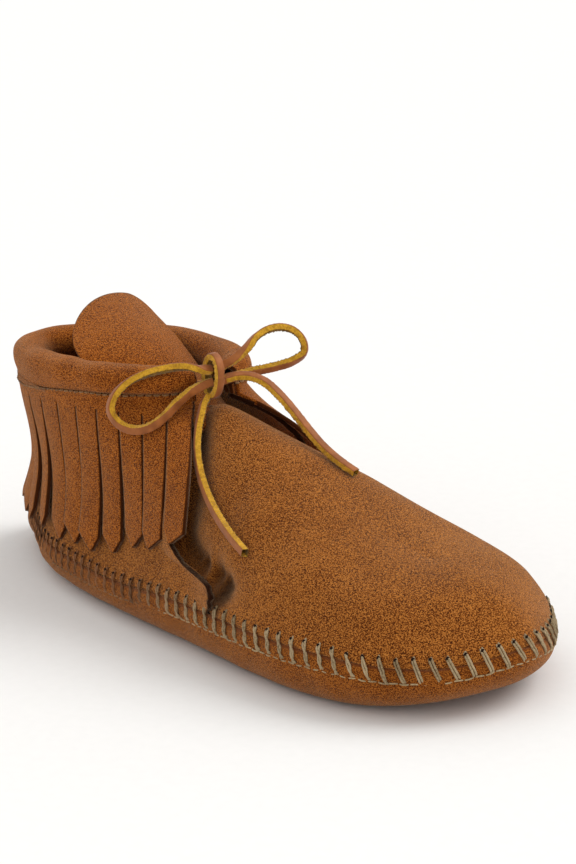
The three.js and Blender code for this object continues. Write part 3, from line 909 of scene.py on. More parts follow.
@dataclass
class Workshop:
    """Makes meshes from flat grids and hands them to the frame."""

    last: Last

    def grid(self, bm: bmesh.types.BMesh, columns: int, rows: int, form: Form, flip: bool = False) -> list:
        """Lays a flat grid and bends it into place.

        Args:
            bm: The mesh that it is added to.
            columns: How many cells run across.
            rows: How many cells run up.
            form: Gives places in millimetres for shares across and up.
            flip: Whether its faces are turned over.

        Returns:
            The new vertices.
        """
        layer = bm.loops.layers.uv.verify()
        flat_grid = {"x_segments": columns, "y_segments": rows, "size": 0.5, "calc_uvs": True}
        made = bmesh.ops.create_grid(bm, **flat_grid)["verts"]
        flat = np.array([v.co[:2] for v in made]) + 0.5
        for vert in made:
            for loop in vert.link_loops:
                loop[layer].uv = (vert.co.x + 0.5, vert.co.y + 0.5)
        placed = self.last.world(form(flat[:, 0], flat[:, 1]))
        for vert, place in zip(made, placed):
            vert.co = place
        if flip:
            bmesh.ops.reverse_faces(bm, faces=list({f for v in made for f in v.link_faces}))
        return made

    def tube(self, bm: bmesh.types.BMesh, line: np.ndarray, section: np.ndarray, ups: np.ndarray) -> list:
        """A solid bar along a line.

        Args:
            bm: The mesh that it is added to.
            line: Places along it in millimetres.
            section: Its section as sideways and upward offsets, in order round it.
            ups: The direction of the section's top at each place.

        Returns:
            The new vertices.
        """
        along = unit(np.gradient(line, axis=0))
        side = unit(np.cross(along, ups))
        top = np.cross(side, along)
        ring = np.vstack([section, section[:1]])
        last_row, last_col = len(line) - 1, len(section)

        def bent(u: np.ndarray, v: np.ndarray) -> np.ndarray:
            """Places round and along the bar."""
            i, k = np.rint(v * last_row).astype(int), np.rint(u * last_col).astype(int)
            return line[i] + side[i] * ring[k, :1] + top[i] * ring[k, 1:]

        made = self.grid(bm, last_col, last_row, bent)
        edges = list({e for v in made for e in v.link_edges})
        bmesh.ops.remove_doubles(bm, verts=made, dist=TUBE_MERGE)
        made = [v for v in made if v.is_valid]
        rims = [e for e in edges if e.is_valid and e.is_boundary]
        bmesh.ops.holes_fill(bm, edges=rims, sides=0)
        return made

    def finish(
        self,
        bm: bmesh.types.BMesh,
        name: str,
        material: bpy.types.Material,
        replaces: Sequence[str] = (),
        wall: float = 0.0,
        outward: bool = False,
    ) -> bpy.types.Object:
        """Turns a bmesh into a piece that rides on the boot.

        Args:
            bm: The mesh, which is freed.
            name: The piece's name.
            material: Its finish.
            replaces: The nodes that it stands for.
            wall: The leather's thickness in millimetres, or 0 for a closed mesh.
            outward: Whether the faces of a closed mesh are turned outward first.

        Returns:
            The piece.
        """
        if outward:
            bmesh.ops.recalc_face_normals(bm, faces=bm.faces)
        for face in bm.faces:
            face.smooth = True
        mesh = bpy.data.meshes.new(name)
        bm.to_mesh(mesh)
        bm.free()
        mesh.materials.append(material)
        piece = bpy.data.objects.new(name, mesh)
        bpy.context.scene.collection.objects.link(piece)
        if wall:
            thick = piece.modifiers.new("wall", "SOLIDIFY")
            thick.thickness = wall * MM
            thick.offset = -1
            thick.use_quality_normals = True
        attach(piece, BODY)
        if replaces:
            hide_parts(*replaces)
        log.info("%s: %d faces", name, len(mesh.polygons))
        return piece

    def mark(
        self, bm: bmesh.types.BMesh, value: Callable[[np.ndarray], np.ndarray], name: str = "edge"
    ) -> None:
        """Writes a value for each point, such as how near it is to a cut edge, for the finish.

        Args:
            bm: The mesh.
            value: Gives 0 to 1 for the mesh's own shares across and up.
            name: What the finish reads it as.
        """
        uv = bm.loops.layers.uv.verify()
        layer = bm.verts.layers.float.new(name)
        verts = [v for v in bm.verts if v.link_loops]
        shares = np.array([v.link_loops[0][uv].uv[:] for v in verts])
        for vert, amount in zip(verts, value(shares)):
            vert[layer] = float(amount)


@dataclass
class Camera:
    """The camera at the photograph's angle, rolled and shifted as it was."""

    azimuth: float = 51.88
    elevation: float = 18.486
    roll: float = -2.624
    distance: float = 891.25
    focal_pixels: float = 2679.1
    shift: tuple[float, float] = (-30.94, 65.09)
    target: tuple[float, float, float] = (126.0, 0.0, 40.0)
    long_side: int = 864
    film: float = 36.0

    def place(self, last: Last) -> None:
        """Makes the camera and gives it to the scene.

        Args:
            last: Knows where the boot lies in the frame.
        """
        az, el, roll = (math.radians(v) for v in (self.azimuth, self.elevation, self.roll))
        back = Vector((math.sin(az) * math.cos(el), -math.cos(az) * math.cos(el), math.sin(el)))
        right = Vector((math.cos(az), math.sin(az), 0))
        up = back.cross(right)
        cosine, sine = math.cos(roll), math.sin(roll)
        right, up = right * cosine + up * sine, up * cosine - right * sine
        data = bpy.data.cameras.new("camera")
        data.sensor_fit = "VERTICAL"
        data.sensor_height = self.film
        data.lens = self.focal_pixels / self.long_side * self.film
        data.shift_x = -self.shift[0] / self.long_side
        data.shift_y = self.shift[1] / self.long_side
        data.clip_end = 20
        camera = bpy.data.objects.new("camera", data)
        bpy.context.scene.collection.objects.link(camera)
        eye = Vector(last.world(np.array(self.target))) + back * self.distance * MM
        matrix = camera.matrix_world.copy()
        for k, axis in enumerate((right, up, back)):
            for row in range(3):
                matrix[row][k] = axis[row]
        matrix.translation = eye
        camera.matrix_world = matrix
        bpy.context.scene.camera = camera


@dataclass
class Studio:
    """A pale floor and soft light, in metres and watts."""

    key: float = 1.35
    key_from: tuple[float, float, float] = (0.35, 0.7, 0.8)
    softness: float = 40.0
    fill: float = 0.83
    fill_colour: tuple[float, float, float, float] = (1.0, 0.995, 0.985, 1)
    front: float = 0.6
    front_size: float = 0.8
    front_place: tuple[float, float, float] = (1.0, -0.9, 0.7)
    front_aim: tuple[float, float, float] = (0.05, 0, 0.03)
    floor_half: float = 6.0

    def front_light(self) -> None:
        """One square soft light before the boot, aimed at its middle."""
        data = bpy.data.lights.new("front", "AREA")
        data.shape = "SQUARE"
        data.size = self.front_size
        data.energy = self.front
        lamp = bpy.data.objects.new("front", data)
        lamp.location = self.front_place
        way = Vector(self.front_aim) - Vector(self.front_place)
        lamp.rotation_euler = way.to_track_quat("-Z", "Y").to_euler()
        bpy.context.scene.collection.objects.link(lamp)

    def sun(self) -> None:
        """The broad key light that reaches the whole floor evenly."""
        data = bpy.data.lights.new("key", "SUN")
        data.energy = self.key
        data.angle = math.radians(self.softness)
        lamp = bpy.data.objects.new("key", data)
        lamp.rotation_euler = Vector(self.key_from).to_track_quat("Z", "Y").to_euler()
        bpy.context.scene.collection.objects.link(lamp)

    def build(self, floor: bpy.types.Material) -> None:
        """Makes the floor, the lights and the pale surroundings.

        Args:
            floor: The floor's finish.
        """
        bm = bmesh.new()
        bmesh.ops.create_grid(bm, x_segments=4, y_segments=4, size=self.floor_half)
        mesh = bpy.data.meshes.new("floor")
        bm.to_mesh(mesh)
        bm.free()
        mesh.materials.append(floor)
        plane = bpy.data.objects.new("floor", mesh)
        bpy.context.scene.collection.objects.link(plane)
        self.sun()
        self.front_light()
        world = bpy.data.worlds.new("surroundings")
        world.use_nodes = True
        backdrop = world.node_tree.nodes["Background"]
        backdrop.inputs["Color"].default_value = self.fill_colour
        backdrop.inputs["Strength"].default_value = self.fill
        bpy.context.scene.world = world
        bpy.context.scene.view_settings.view_transform = "Standard"


@dataclass
class Lace:
    """The thong: a tie across the throat, one turn as a knot, two loops and two ends."""

    last: Last
    width: float = 2.8
    thickness: float = 2.4
    squareness: float = 0.34
    diameter: float = 3.4
    steps: int = 240
    fuzz: float = 0.2
    grain_fuzz: float = 0.05
    fuzz_size: float = 0.35
    tunnel_radius: float = 3.6
    tunnel_sides: int = 8
    tie_reach: float = 0.045
    tie_bow: float = 1.2
    knot_middle: tuple[float, float, float] = (112.4, -5.5, 80.5)
    knot_length: float = 11.8
    knot_height: float = 16.4
    routes: dict[str, list[tuple[float, float, float]]] = field(
        default_factory=lambda: {
            "lace_loop_near": [
                (112.2, -5.95, 82.6), (111.5, -9.3, 83.3), (106.9, -13.2, 84.2), (102.7, -17.8, 83.6),
                (98.5, -23.1, 82.1), (94, -27.4, 79.1), (91.4, -31, 74.8), (91.1, -32.7, 70.3),
                (94.1, -31.7, 65.9), (99.2, -29.5, 64.4), (104.4, -26.7, 65.8), (106.8, -22.3, 68.8),
                (108, -17.5, 72.8), (110.4, -13.4, 76.4), (111.9, -9.4, 78), (112.2, -5.95, 78.4),
            ],
            "lace_loop_far": [
                (112.4, -5.05, 82.6), (112.8, -1.9, 83.2), (115.1, 1.2, 85), (116.9, 4.9, 88),
                (117.5, 9.3, 91.7), (118.7, 13.6, 93.6), (120.7, 18, 93.9), (122.9, 21.6, 92.2),
                (124.8, 23.6, 88.4), (124.6, 23.6, 84.7), (122.5, 20.2, 82), (119.5, 15.2, 80.6),
                (116.5, 9.4, 79.8), (114.3, 3.6, 79), (112.7, -1.6, 78.3), (112.4, -5.05, 78.4),
            ],
            "lace_end_near": [
                (112.2, -7.8, 73.8), (113.2, -10.4, 72.2), (114.6, -12.7, 69.7), (117, -16.3, 65.1),
                (121, -20.2, 60), (126.6, -23.6, 54.5), (134.1, -26.9, 49.5), (143.7, -30.5, 45.5),
                (154.7, -34.1, 42.3), (164.5, -36.1, 39.3),
            ],
            "lace_end_far": [
                (116.5, -3.2, 79.9), (118.4, -0.5, 80.5), (122, 2.8, 80.4), (126, 5.6, 78.6),
                (131, 7.6, 74.6), (136.4, 8.9, 69.8), (142.8, 9.4, 64.8), (149.9, 9.8, 60.2),
                (157.3, 10.3, 56.9), (163.5, 11.6, 54.2),
            ],
        }
    )
    facing: dict[str, tuple[float, float, float]] = field(
        default_factory=lambda: {"lace_end_near": (-0.33, -0.88, 0.1), "lace_end_far": (0.38, 0.02, 0.89)}
    )
    toward_camera: tuple[float, float, float] = (0.746, -0.585, 0.317)
    picture_up: tuple[float, float, float] = (-0.249, 0.196, 0.948)

    def section(self, count: int = 6) -> np.ndarray:
        """A square with softly rounded corners, from the middle of its grain side round.

        Args:
            count: How many points a quarter of it has.

        Returns:
            Its points as sideways and upward offsets.
        """
        angles = np.arange(4 * count) * (2 * math.pi / (4 * count)) + math.pi / 2
        across = self.width * squared(np.cos(angles), self.squareness)
        up = self.thickness * squared(np.sin(angles), self.squareness)
        return np.stack([across, up], axis=1) / 2

    def strand(
        self, shop: Workshop, line: np.ndarray, ups: np.ndarray, name: str, closed: bool = False
    ) -> bmesh.types.BMesh:
        """One stretch of thong with ragged flesh edges.

        Args:
            shop: Makes the mesh.
            line: Its places in millimetres.
            ups: Where its grain side faces.
            name: Its name, which seeds the raggedness.
            closed: Whether it runs back into itself.

        Returns:
            The mesh, marked by side.
        """
        bm = bmesh.new()
        section = self.section()
        shop.tube(bm, line, section, ups)
        count = len(section)

        def grain(uv: np.ndarray) -> np.ndarray:
            """1 on the grain side, -1 on the flesh side and 0 on the cut edges."""
            facing = np.cos(2 * math.pi * np.rint(uv[:, 0] * count) / count)
            return np.clip(facing * 2.2, -1, 1) * (np.abs(facing) > 0.5)

        shop.mark(bm, grain)
        if closed:
            bmesh.ops.remove_doubles(bm, verts=bm.verts, dist=TUBE_MERGE)
        seed = sum(map(ord, name))
        places = np.array([v.co[:] for v in bm.verts]) / MM
        outward = unit(np.array([v.normal[:] for v in bm.verts]))
        shifts = ripple(places, self.fuzz_size, seed)[:, None] * outward
        layer = bm.verts.layers.float["edge"]
        for vert, shift in zip(bm.verts, shifts):
            vert.co += Vector(shift * MM * (self.grain_fuzz if vert[layer] > 0.5 else self.fuzz))
        return bm

    def build(self, shop: Workshop, hide: bpy.types.Material) -> None:
        """Args:
            shop: Makes the meshes.
            hide: The lace's finish.
        """
        pieces = {}
        for name, route in self.routes.items():
            line = evenly(spline(route, False, 300), self.steps)
            bm = self.strand(shop, line, self.grain_side(name, line), name)
            piece = shop.finish(bm, name + "_hide", hide, [name], outward=True)
            pieces[name] = (piece, line)
        knot = self.build_knot(shop, hide)
        self.build_tie(shop, hide)
        for name, (piece, line) in pieces.items():
            tuple(self.last.world(line[0]))
            self.last.world(line[::8]).tolist()

    def grain_side(self, name: str, line: np.ndarray) -> np.ndarray:
        """Where the grain side of a loop or an end faces along its route.

        Args:
            name: The stretch's name.
            line: Its places in millimetres.

        Returns:
            A direction for each place, square to the route.
        """
        if name in self.facing:
            ups = np.tile(np.array(self.facing[name]), (len(line), 1))
        else:
            ups = unit(line - line.mean(axis=0))
            lean = 0.45 - 0.85 * (ups @ np.array(self.picture_up))
            ups = ups + np.array(self.toward_camera) * lean[:, None]
        along = unit(np.gradient(line, axis=0))
        return unit(ups - along * (ups * along).sum(axis=1, keepdims=True))

    def build_knot(self, shop: Workshop, hide: bpy.types.Material) -> bpy.types.Object:
        """The turn of thong round the loops: a tall oval, grain side outward.

        Args:
            shop: Makes the mesh.
            hide: The lace's finish.

        Returns:
            The knot.
        """
        wide, high = (self.knot_length - self.diameter) / 2, (self.knot_height - self.diameter) / 2
        angle = np.linspace(0, 2 * math.pi, 97)
        oval = stack(wide * np.cos(angle), 0.9 * np.sin(angle - 0.6), high * np.sin(angle))
        line = np.array(self.knot_middle) + oval
        ups = unit(stack(np.cos(angle) / wide, 0 * angle, np.sin(angle) / high))
        bm = self.strand(shop, line, ups, "lace_knot", closed=True)
        return shop.finish(bm, "lace_knot_hide", hide, ["lace_knot"], outward=True)

    def build_tie(self, shop: Workshop, hide: bpy.types.Material) -> None:
        """The stretch of thong from one end of the collar's tunnel to the other.

        Args:
            shop: Makes the mesh.
            hide: The lace's finish.
        """
        near = [self.last.collar_at(np.array(self.tie_reach * s)) for s in (1, 0.5, 0)]
        far = [self.last.collar_at(np.array(1 - self.tie_reach * s)) for s in (0, 0.5, 1)]
        between = (near[-1] + far[0]) / 2 + np.array([self.tie_bow, 0, 0])
        flat = self.tunnel_radius * math.cos(math.pi / self.tunnel_sides)
        rest = flat - self.diameter / 2 - self.last.clearance
        route = np.array([*near, between, *far]) - np.array([0, 0, rest])
        line = evenly(spline(route, False, 120), 60)
        bm = self.strand(shop, line, np.tile((1.0, 0, 0.3), (len(line), 1)), "lace_tie")
        shop.finish(bm, "lace_tie_hide", hide, ["lace_tie"], outward=True)


@dataclass
class Sole:
    """The soft sole: one leather cup turned up to the seam, and the padded insole in it."""

    last: Last
    columns: int = 460
    pad_columns: int = 240
    pad_thickness: float = 4.0
    rim: tuple[tuple[float, float], ...] = (
        (2.7, 13.4), (2.75, 14.6), (2.5, 15.3), (1.9, 15.6), (1.25, 15.4), (0.8, 14.9), (0.55, 14.1),
        (0.28, 13.0), (0.08, 12.0),
    )
    rim_row: float = 14.2
    pad_edge: tuple[tuple[float, float], ...] = ((8, 0.2), (4, 1.8), (2.6, 3.2), (3.2, 3.7), (5, 4.0))

    def profile(self) -> list[tuple[float, float, float]]:
        """The closed section as depth inside the outline, height, and share of the way to the middle.

        Returns:
            The rows, in order round the section.
        """
        inner = [self.corner(angle, self.last.sole_wall) for angle in np.linspace(math.pi / 2, 0, 7)]
        outer = [self.corner(angle, 0.0) for angle in np.linspace(0, math.pi / 2, 13)]
        rows = [(inner[0][0], inner[0][1], share) for share in (1.0, 0.6, 0.2)]
        rows += inner
        rows += [(depth, height, 0.0) for depth, height in self.rim]
        rows += outer
        rows += [(outer[-1][0], 0.0, share) for share in (0.08, 0.2, 0.4, 0.6, 0.8, 1.0)]
        return rows

    def corner(self, angle: float, inward: float) -> tuple[float, float, float]:
        """A row on the rounded lower edge.

        Args:
            angle: A quarter turn at the floor, and 0 at the widest place.
            inward: How far inside the leather's outer face it lies.

        Returns:
            Its depth inside the outline, its height, and no share of the way to the middle.
        """
        last = self.last
        depth = last.sole_round * (1 - math.cos(angle)) + inward * math.cos(angle)
        height = last.widest_height * (1 - math.sin(angle)) + inward * math.sin(angle)
        return depth, height, 0.0

    def place_at(self, u: np.ndarray) -> tuple[np.ndarray, np.ndarray, np.ndarray]:
        """Places round the whole outline, with closer steps at heel and toe.

        Args:
            u: Share of the way round.

        Returns:
            The places, their outward directions and their distance from the heel.
        """
        last = self.last
        turn = 2 * math.pi * u
        x = lerp(last.heel_end, last.toe_end, (1 - np.cos(turn)) / 2)
        point, out = last.on_outline(u > 0.5, x)
        return point, out, x

    def laid(self, u: np.ndarray, depth: np.ndarray, height: np.ndarray, share: np.ndarray) -> np.ndarray:
        """Places on a section that runs round the outline.

        Args:
            u: Share of the way round.
            depth: Depth inside the outline.
            height: Height over the bottom.
            share: Share of the way from there to the middle line.

        Returns:
            Places in millimetres.
        """
        point, out, x = self.place_at(u)
        skin = self.last.inset((point, out), depth, height)
        middle_x, middle_y = self.last.spine(x)
        middle = stack(middle_x, middle_y, height + self.last.floor_lift(middle_x, middle_y))
        return lerp(skin, middle, share[:, None])

    def build(self, shop: Workshop, finishes: Finishes) -> None:
        """Makes the cup and the insole.

        Args:
            shop: Makes the meshes.
            finishes: The boot's finishes.
        """
        last = self.last
        rows = np.array(self.profile())
        top_row = len(rows) - 1

        def cup(u: np.ndarray, v: np.ndarray) -> np.ndarray:
            """Places on the cup, whose rim follows the seam.

            Args:
                u: Share across the grid.
                v: Share up it.

            Returns:
                Places in millimetres.
            """
            _, out, x = self.place_at(u)
            depth, height, share = rows[np.rint(v * top_row).astype(int)].T
            height = height * last.seam_at(x) / last.seam_height
            placed = self.laid(u, depth, height, share)
            slack = ripple(placed, 9, 31) * 0.35 * ease(height, 0.4, 4) * (1 - share)
            flat = stack(out[:, 0], out[:, 1], 0 * x)
            return placed + flat * slack[:, None]

        bm = bmesh.new()
        shop.grid(bm, self.columns, top_row, cup, flip=True)

        def cut(uv: np.ndarray) -> np.ndarray:
            """How near a place is to the cup's cut upper edge."""
            return 0.8 * np.exp(-(((uv[:, 1] - self.rim_row / top_row) * top_row / 1.2) ** 2))

        shop.mark(bm, cut)
        bmesh.ops.remove_doubles(bm, verts=bm.verts, dist=LEATHER_MERGE)
        shop.finish(bm, "sole_leather", finishes.sole, ["sole"], outward=True)
        self.build_insole(shop, finishes)

    def build_insole(self, shop: Workshop, finishes: Finishes) -> None:
        """The padded insole with a rounded edge and soft dimples.

        Args:
            shop: Makes the mesh.
            finishes: The boot's finishes.
        """
        inside = self.last.sole_wall + self.last.clearance
        top = inside + self.pad_thickness
        edge = [(inside + depth, inside + height, 0.0) for depth, height in self.pad_edge]
        under = [(inside + 9, inside, share) for share in (1.0, 0.5)]
        over = [(edge[-1][0], top, share) for share in (0.15, 0.3, 0.45, 0.6, 0.8, 1.0)]
        rows = np.array(under + edge + over)
        top_row = len(rows) - 1

        def pad(u: np.ndarray, v: np.ndarray) -> np.ndarray:
            """Places on the pad.

            Args:
                u: Share across the grid.
                v: Share up it.

            Returns:
                Places in millimetres.
            """
            depth, height, share = rows[np.rint(v * top_row).astype(int)].T
            placed = self.laid(u, depth, height, share)
            placed[:, 2] += ripple(placed * (1, 1, 0), 12, 5) * 0.25 * (height > top - 0.5)
            return placed

        bm = bmesh.new()
        shop.grid(bm, self.pad_columns, top_row, pad)
        bmesh.ops.remove_doubles(bm, verts=bm.verts, dist=LEATHER_MERGE)
        shop.finish(bm, "insole_pad", finishes.lining, ["insole"], outward=True)


@dataclass(frozen=True)
class Crease:
    """A soft trough, or a ridge where depth is below zero, between two places in millimetres."""

    start: tuple[float, float, float]
    end: tuple[float, float, float]
    reach: float
    depth: float

    def push(self, points: np.ndarray) -> np.ndarray:
        """How far it presses each point inward.

        Args:
            points: Places in millimetres.

        Returns:
            The depths in millimetres.
        """
        a, b = np.array(self.start), np.array(self.end)
        span = b - a
        share = np.clip(((points - a) @ span) / (span @ span), 0, 1)
        gap = np.linalg.norm(points - (a + share[:, None] * span), axis=1)
        return self.depth * np.exp(-((gap / self.reach) ** 2))


@dataclass
class Upper:
    """The vamp and the quarter behind it, sewn into the sole's seam."""

    last: Last
    vamp_cells: tuple[int, int] = (360, 76)
    quarter_cells: tuple[int, int] = (420, 110)
    vamp_tuck: float = 0.06
    quarter_tuck: float = 0.05
    tuck_depth: float = 3.5
    core_height: float = 24.0
    trough_depth: float = 7.0
    trough_reach: float = 6.0
    # Strength of the painted shade on the vamp beside the quarter's front edges.
    shadow: float = 0.9
    standing: float = 1.9
    ragged: float = 0.55
    vamp_creases: tuple[Crease, ...] = (
        Crease((128, -30, 50), (138, -40, 26), 8, 0.9),
        Crease((146, -24, 50), (163, -38, 30), 7, 0.5),
        Crease((170, -6, 55), (186, -30, 38), 10, -0.7),
        Crease((176, 6, 52), (206, 24, 38), 9, 0.5),
        Crease((200, -20, 40), (224, -18, 28), 8, 0.45),
        Crease((214, 8, 38), (238, 2, 26), 9, -0.5),
        Crease((132, 22, 54), (150, 36, 34), 8, 0.8),
    )
    quarter_creases: tuple[Crease, ...] = (
        Crease((8, -4, 26), (24, -28, 24), 5, 0.5),
        Crease((60, -40, 26), (100, -44, 28), 6, -0.4),
        Crease((60, 30, 26), (100, 34, 30), 7, 0.6),
        Crease((118, -42, 24), (134, -42, 34), 6, 0.4),
    )

    def arc(self, t: np.ndarray, climb: np.ndarray) -> np.ndarray:
        """The vamp's face: t runs from -1 at the outer back through the toe to 1 at the inner back.

        Args:
            t: Place across.
            climb: Share of the way from the seam to the ridge.

        Returns:
            Places in millimetres.
        """
        last = self.last
        angle = climb * (math.pi / 2)
        back = lerp(last.vamp_back_low, last.vamp_back, climb)
        x = lerp(back, last.toe_end, np.sin((math.pi / 2) * (1 - np.abs(t))))
        place = last.on_outline(t > 0, x)
        front = last.quarter_front
        pinch = last.throat_pinch * (1 - ease(x, last.vamp_back, front + 10)) * np.sin(2 * angle)
        behind = (last.wall + 0.5) * (1 - ease(x, front - 5, front + 10))
        depth = last.rim_lean + last.sole_wall + last.clearance + behind + pinch
        base = last.inset(place, depth, last.seam_at(x))
        ridge_x, ridge_y = last.spine(x)
        ridge_z = last.instep_height * SECTIONS.read("rise", ridge_x / last.length)
        fullness = SECTIONS.read("fullness", x / last.length)
        across = np.cos(angle) ** (2 / fullness)
        up = np.sin(angle) ** (2 / fullness)
        placed = stack(
            lerp(ridge_x, base[:, 0], across),
            lerp(ridge_y, base[:, 1], across),
            lerp(base[:, 2], ridge_z, up),
        )
        above = placed[:, 2] - base[:, 2]
        shown = ease(x, front - 8, front + 4)
        out = stack(place[1][:, 0], place[1][:, 1], 0 * x)
        return placed + out * (last.seam_bulge(above) * shown)[:, None]

    def inward(self, points: np.ndarray) -> np.ndarray:
        """The directions from places towards the line through the boot's middle."""
        return unit(stack(points[:, 0], 0 * points[:, 0], self.core_height) - points)

    def settle(self, points: np.ndarray, creases: Sequence[Crease], seed: int) -> np.ndarray:
        """Presses the creases and a soft unevenness into a face.

        Args:
            points: Places in millimetres.
            creases: The creases of this face.
            seed: Picks the unevenness.

        Returns:
            The moved places.
        """
        push = sum(c.push(points) for c in creases) + ripple(points, 16, seed) * 0.3
        high = ease(points[:, 2], self.last.seam_height + 1, self.last.seam_height + 8)
        return points + self.inward(points) * (push * high)[:, None]

    def from_edge(self, points: np.ndarray) -> np.ndarray:
        """How far places on the vamp lie from the quarter's front edges.

        Args:
            points: Places on the vamp in millimetres.

        Returns:
            The distances in millimetres.
        """
        rise = np.linspace(0.03, 1, 40)
        back = FRONT_EDGE.read("back", rise)
        edges = np.vstack([self.last.quarter_point(share, rise) for share in (back, 1 - back)])
        return np.linalg.norm(points[:, None, :] - edges[None, :, :], axis=2).min(axis=1)

    def tuck_under(self, points: np.ndarray) -> np.ndarray:
        """Presses the vamp down where it goes in under the quarter's front edges.

        Args:
            points: Places on the vamp in millimetres.

        Returns:
            The moved places.
        """
        gap = self.from_edge(points)
        high = ease(points[:, 2], self.last.seam_height + 2, self.last.seam_height + 15)
        depth = self.trough_depth * np.exp(-((gap / self.trough_reach) ** 2)) * high
        return points + self.inward(points) * depth[:, None]

    def build(self, shop: Workshop, finishes: Finishes) -> None:
        """Makes the vamp and the quarter.

        Args:
            shop: Makes the meshes.
            finishes: The boot's finishes.
        """
        self.build_vamp(shop, finishes)
        self.build_quarter(shop, finishes)

    def build_vamp(self, shop: Workshop, finishes: Finishes) -> None:
        """The vamp, with painted shade where it goes in under the quarter.

        Args:
            shop: Makes the mesh.
            finishes: The boot's finishes.
        """
        last = self.last

        def laid(u: np.ndarray, v: np.ndarray) -> np.ndarray:
            """Places on the vamp before it is tucked under."""
            climb = np.clip((v - self.vamp_tuck) / (1 - self.vamp_tuck), 0, 1)
            return self.settle(self.arc(2 * u - 1, climb**1.15), self.vamp_creases, 12)

        def vamp(u: np.ndarray, v: np.ndarray) -> np.ndarray:
            """Places on the vamp, whose lowest rows go down inside the sole.

            Args:
                u: Share across the grid.
                v: Share up it.

            Returns:
                Places in millimetres.
            """
            placed = self.tuck_under(laid(u, v))
            placed[:, 2] -= self.tuck_depth * np.clip((self.vamp_tuck - v) / self.vamp_tuck, 0, 1)
            return placed

        def shade(uv: np.ndarray) -> np.ndarray:
            """How much painted shade a place gets beside the quarter's edge.

            Args:
                uv: Shares across the grid and up it.

            Returns:
                0 where it is in the light, up to the shadow's strength.
            """
            points = laid(uv[:, 0], uv[:, 1])
            high = ease(points[:, 2], last.seam_height, last.seam_height + 9)
            return self.shadow * high * (1 - ease(self.from_edge(points), 1.5, 7.5))

        bm = bmesh.new()
        shop.grid(bm, *self.vamp_cells, vamp)
        bmesh.ops.remove_doubles(bm, verts=bm.verts, dist=LEATHER_MERGE)
        shop.mark(bm, lambda uv: side_edge(uv, self.vamp_cells[0], 2.2))
        # Painted shade on the vamp where it goes in under the quarter's front edges.
        shop.mark(bm, shade, "shade")
        shop.finish(bm, "vamp_leather", finishes.upper, ["upper"], wall=last.wall)

    def build_quarter(self, shop: Workshop, finishes: Finishes) -> None:
        """The quarter, with its front edges standing off the vamp.

        Args:
            shop: Makes the mesh.
            finishes: The boot's finishes.
        """
        last = self.last

        def quarter(u: np.ndarray, v: np.ndarray) -> np.ndarray:
            """Places on the quarter, whose lowest rows go down inside the sole.

            Args:
                u: Share across the grid.
                v: Share up it.

            Returns:
                Places in millimetres.
            """
            rise = np.clip((v - self.quarter_tuck) / (1 - self.quarter_tuck), 0, 1)
            back = FRONT_EDGE.read("back", rise)
            share = lerp(back, 1 - back, u)
            placed = last.quarter_point(share, rise)
            place = last.quarter_place(share)
            out = stack(place[1][:, 0], place[1][:, 1], 0 * rise)
            base = last.seam_at(place[0][:, 0]) + last.floor_lift(placed[:, 0], placed[:, 1])
            placed = placed + out * last.seam_bulge(placed[:, 2] - base)[:, None]
            placed = self.settle(placed, self.quarter_creases, 23)
            edge = np.minimum(u, 1 - u)
            low = ease(rise, 0.02, 0.12) * (1 - ease(rise, 0.4, 0.7))
            standing = self.standing * (1 - ease(edge, 0.0, 0.05)) * low
            placed = placed + out * standing[:, None]
            placed[:, 0] += ripple(placed, 1.3, 44) * self.ragged * (1 - ease(edge, 0.0, 0.006))
            placed[:, 2] -= self.tuck_depth * np.clip((self.quarter_tuck - v) / self.quarter_tuck, 0, 1)
            return placed

        bm = bmesh.new()
        shop.grid(bm, *self.quarter_cells, quarter, flip=True)
        shop.mark(bm, lambda uv: side_edge(uv, self.quarter_cells[0], 2.0))
        shop.finish(bm, "quarter_leather", finishes.upper, ["upper"], wall=last.wall)


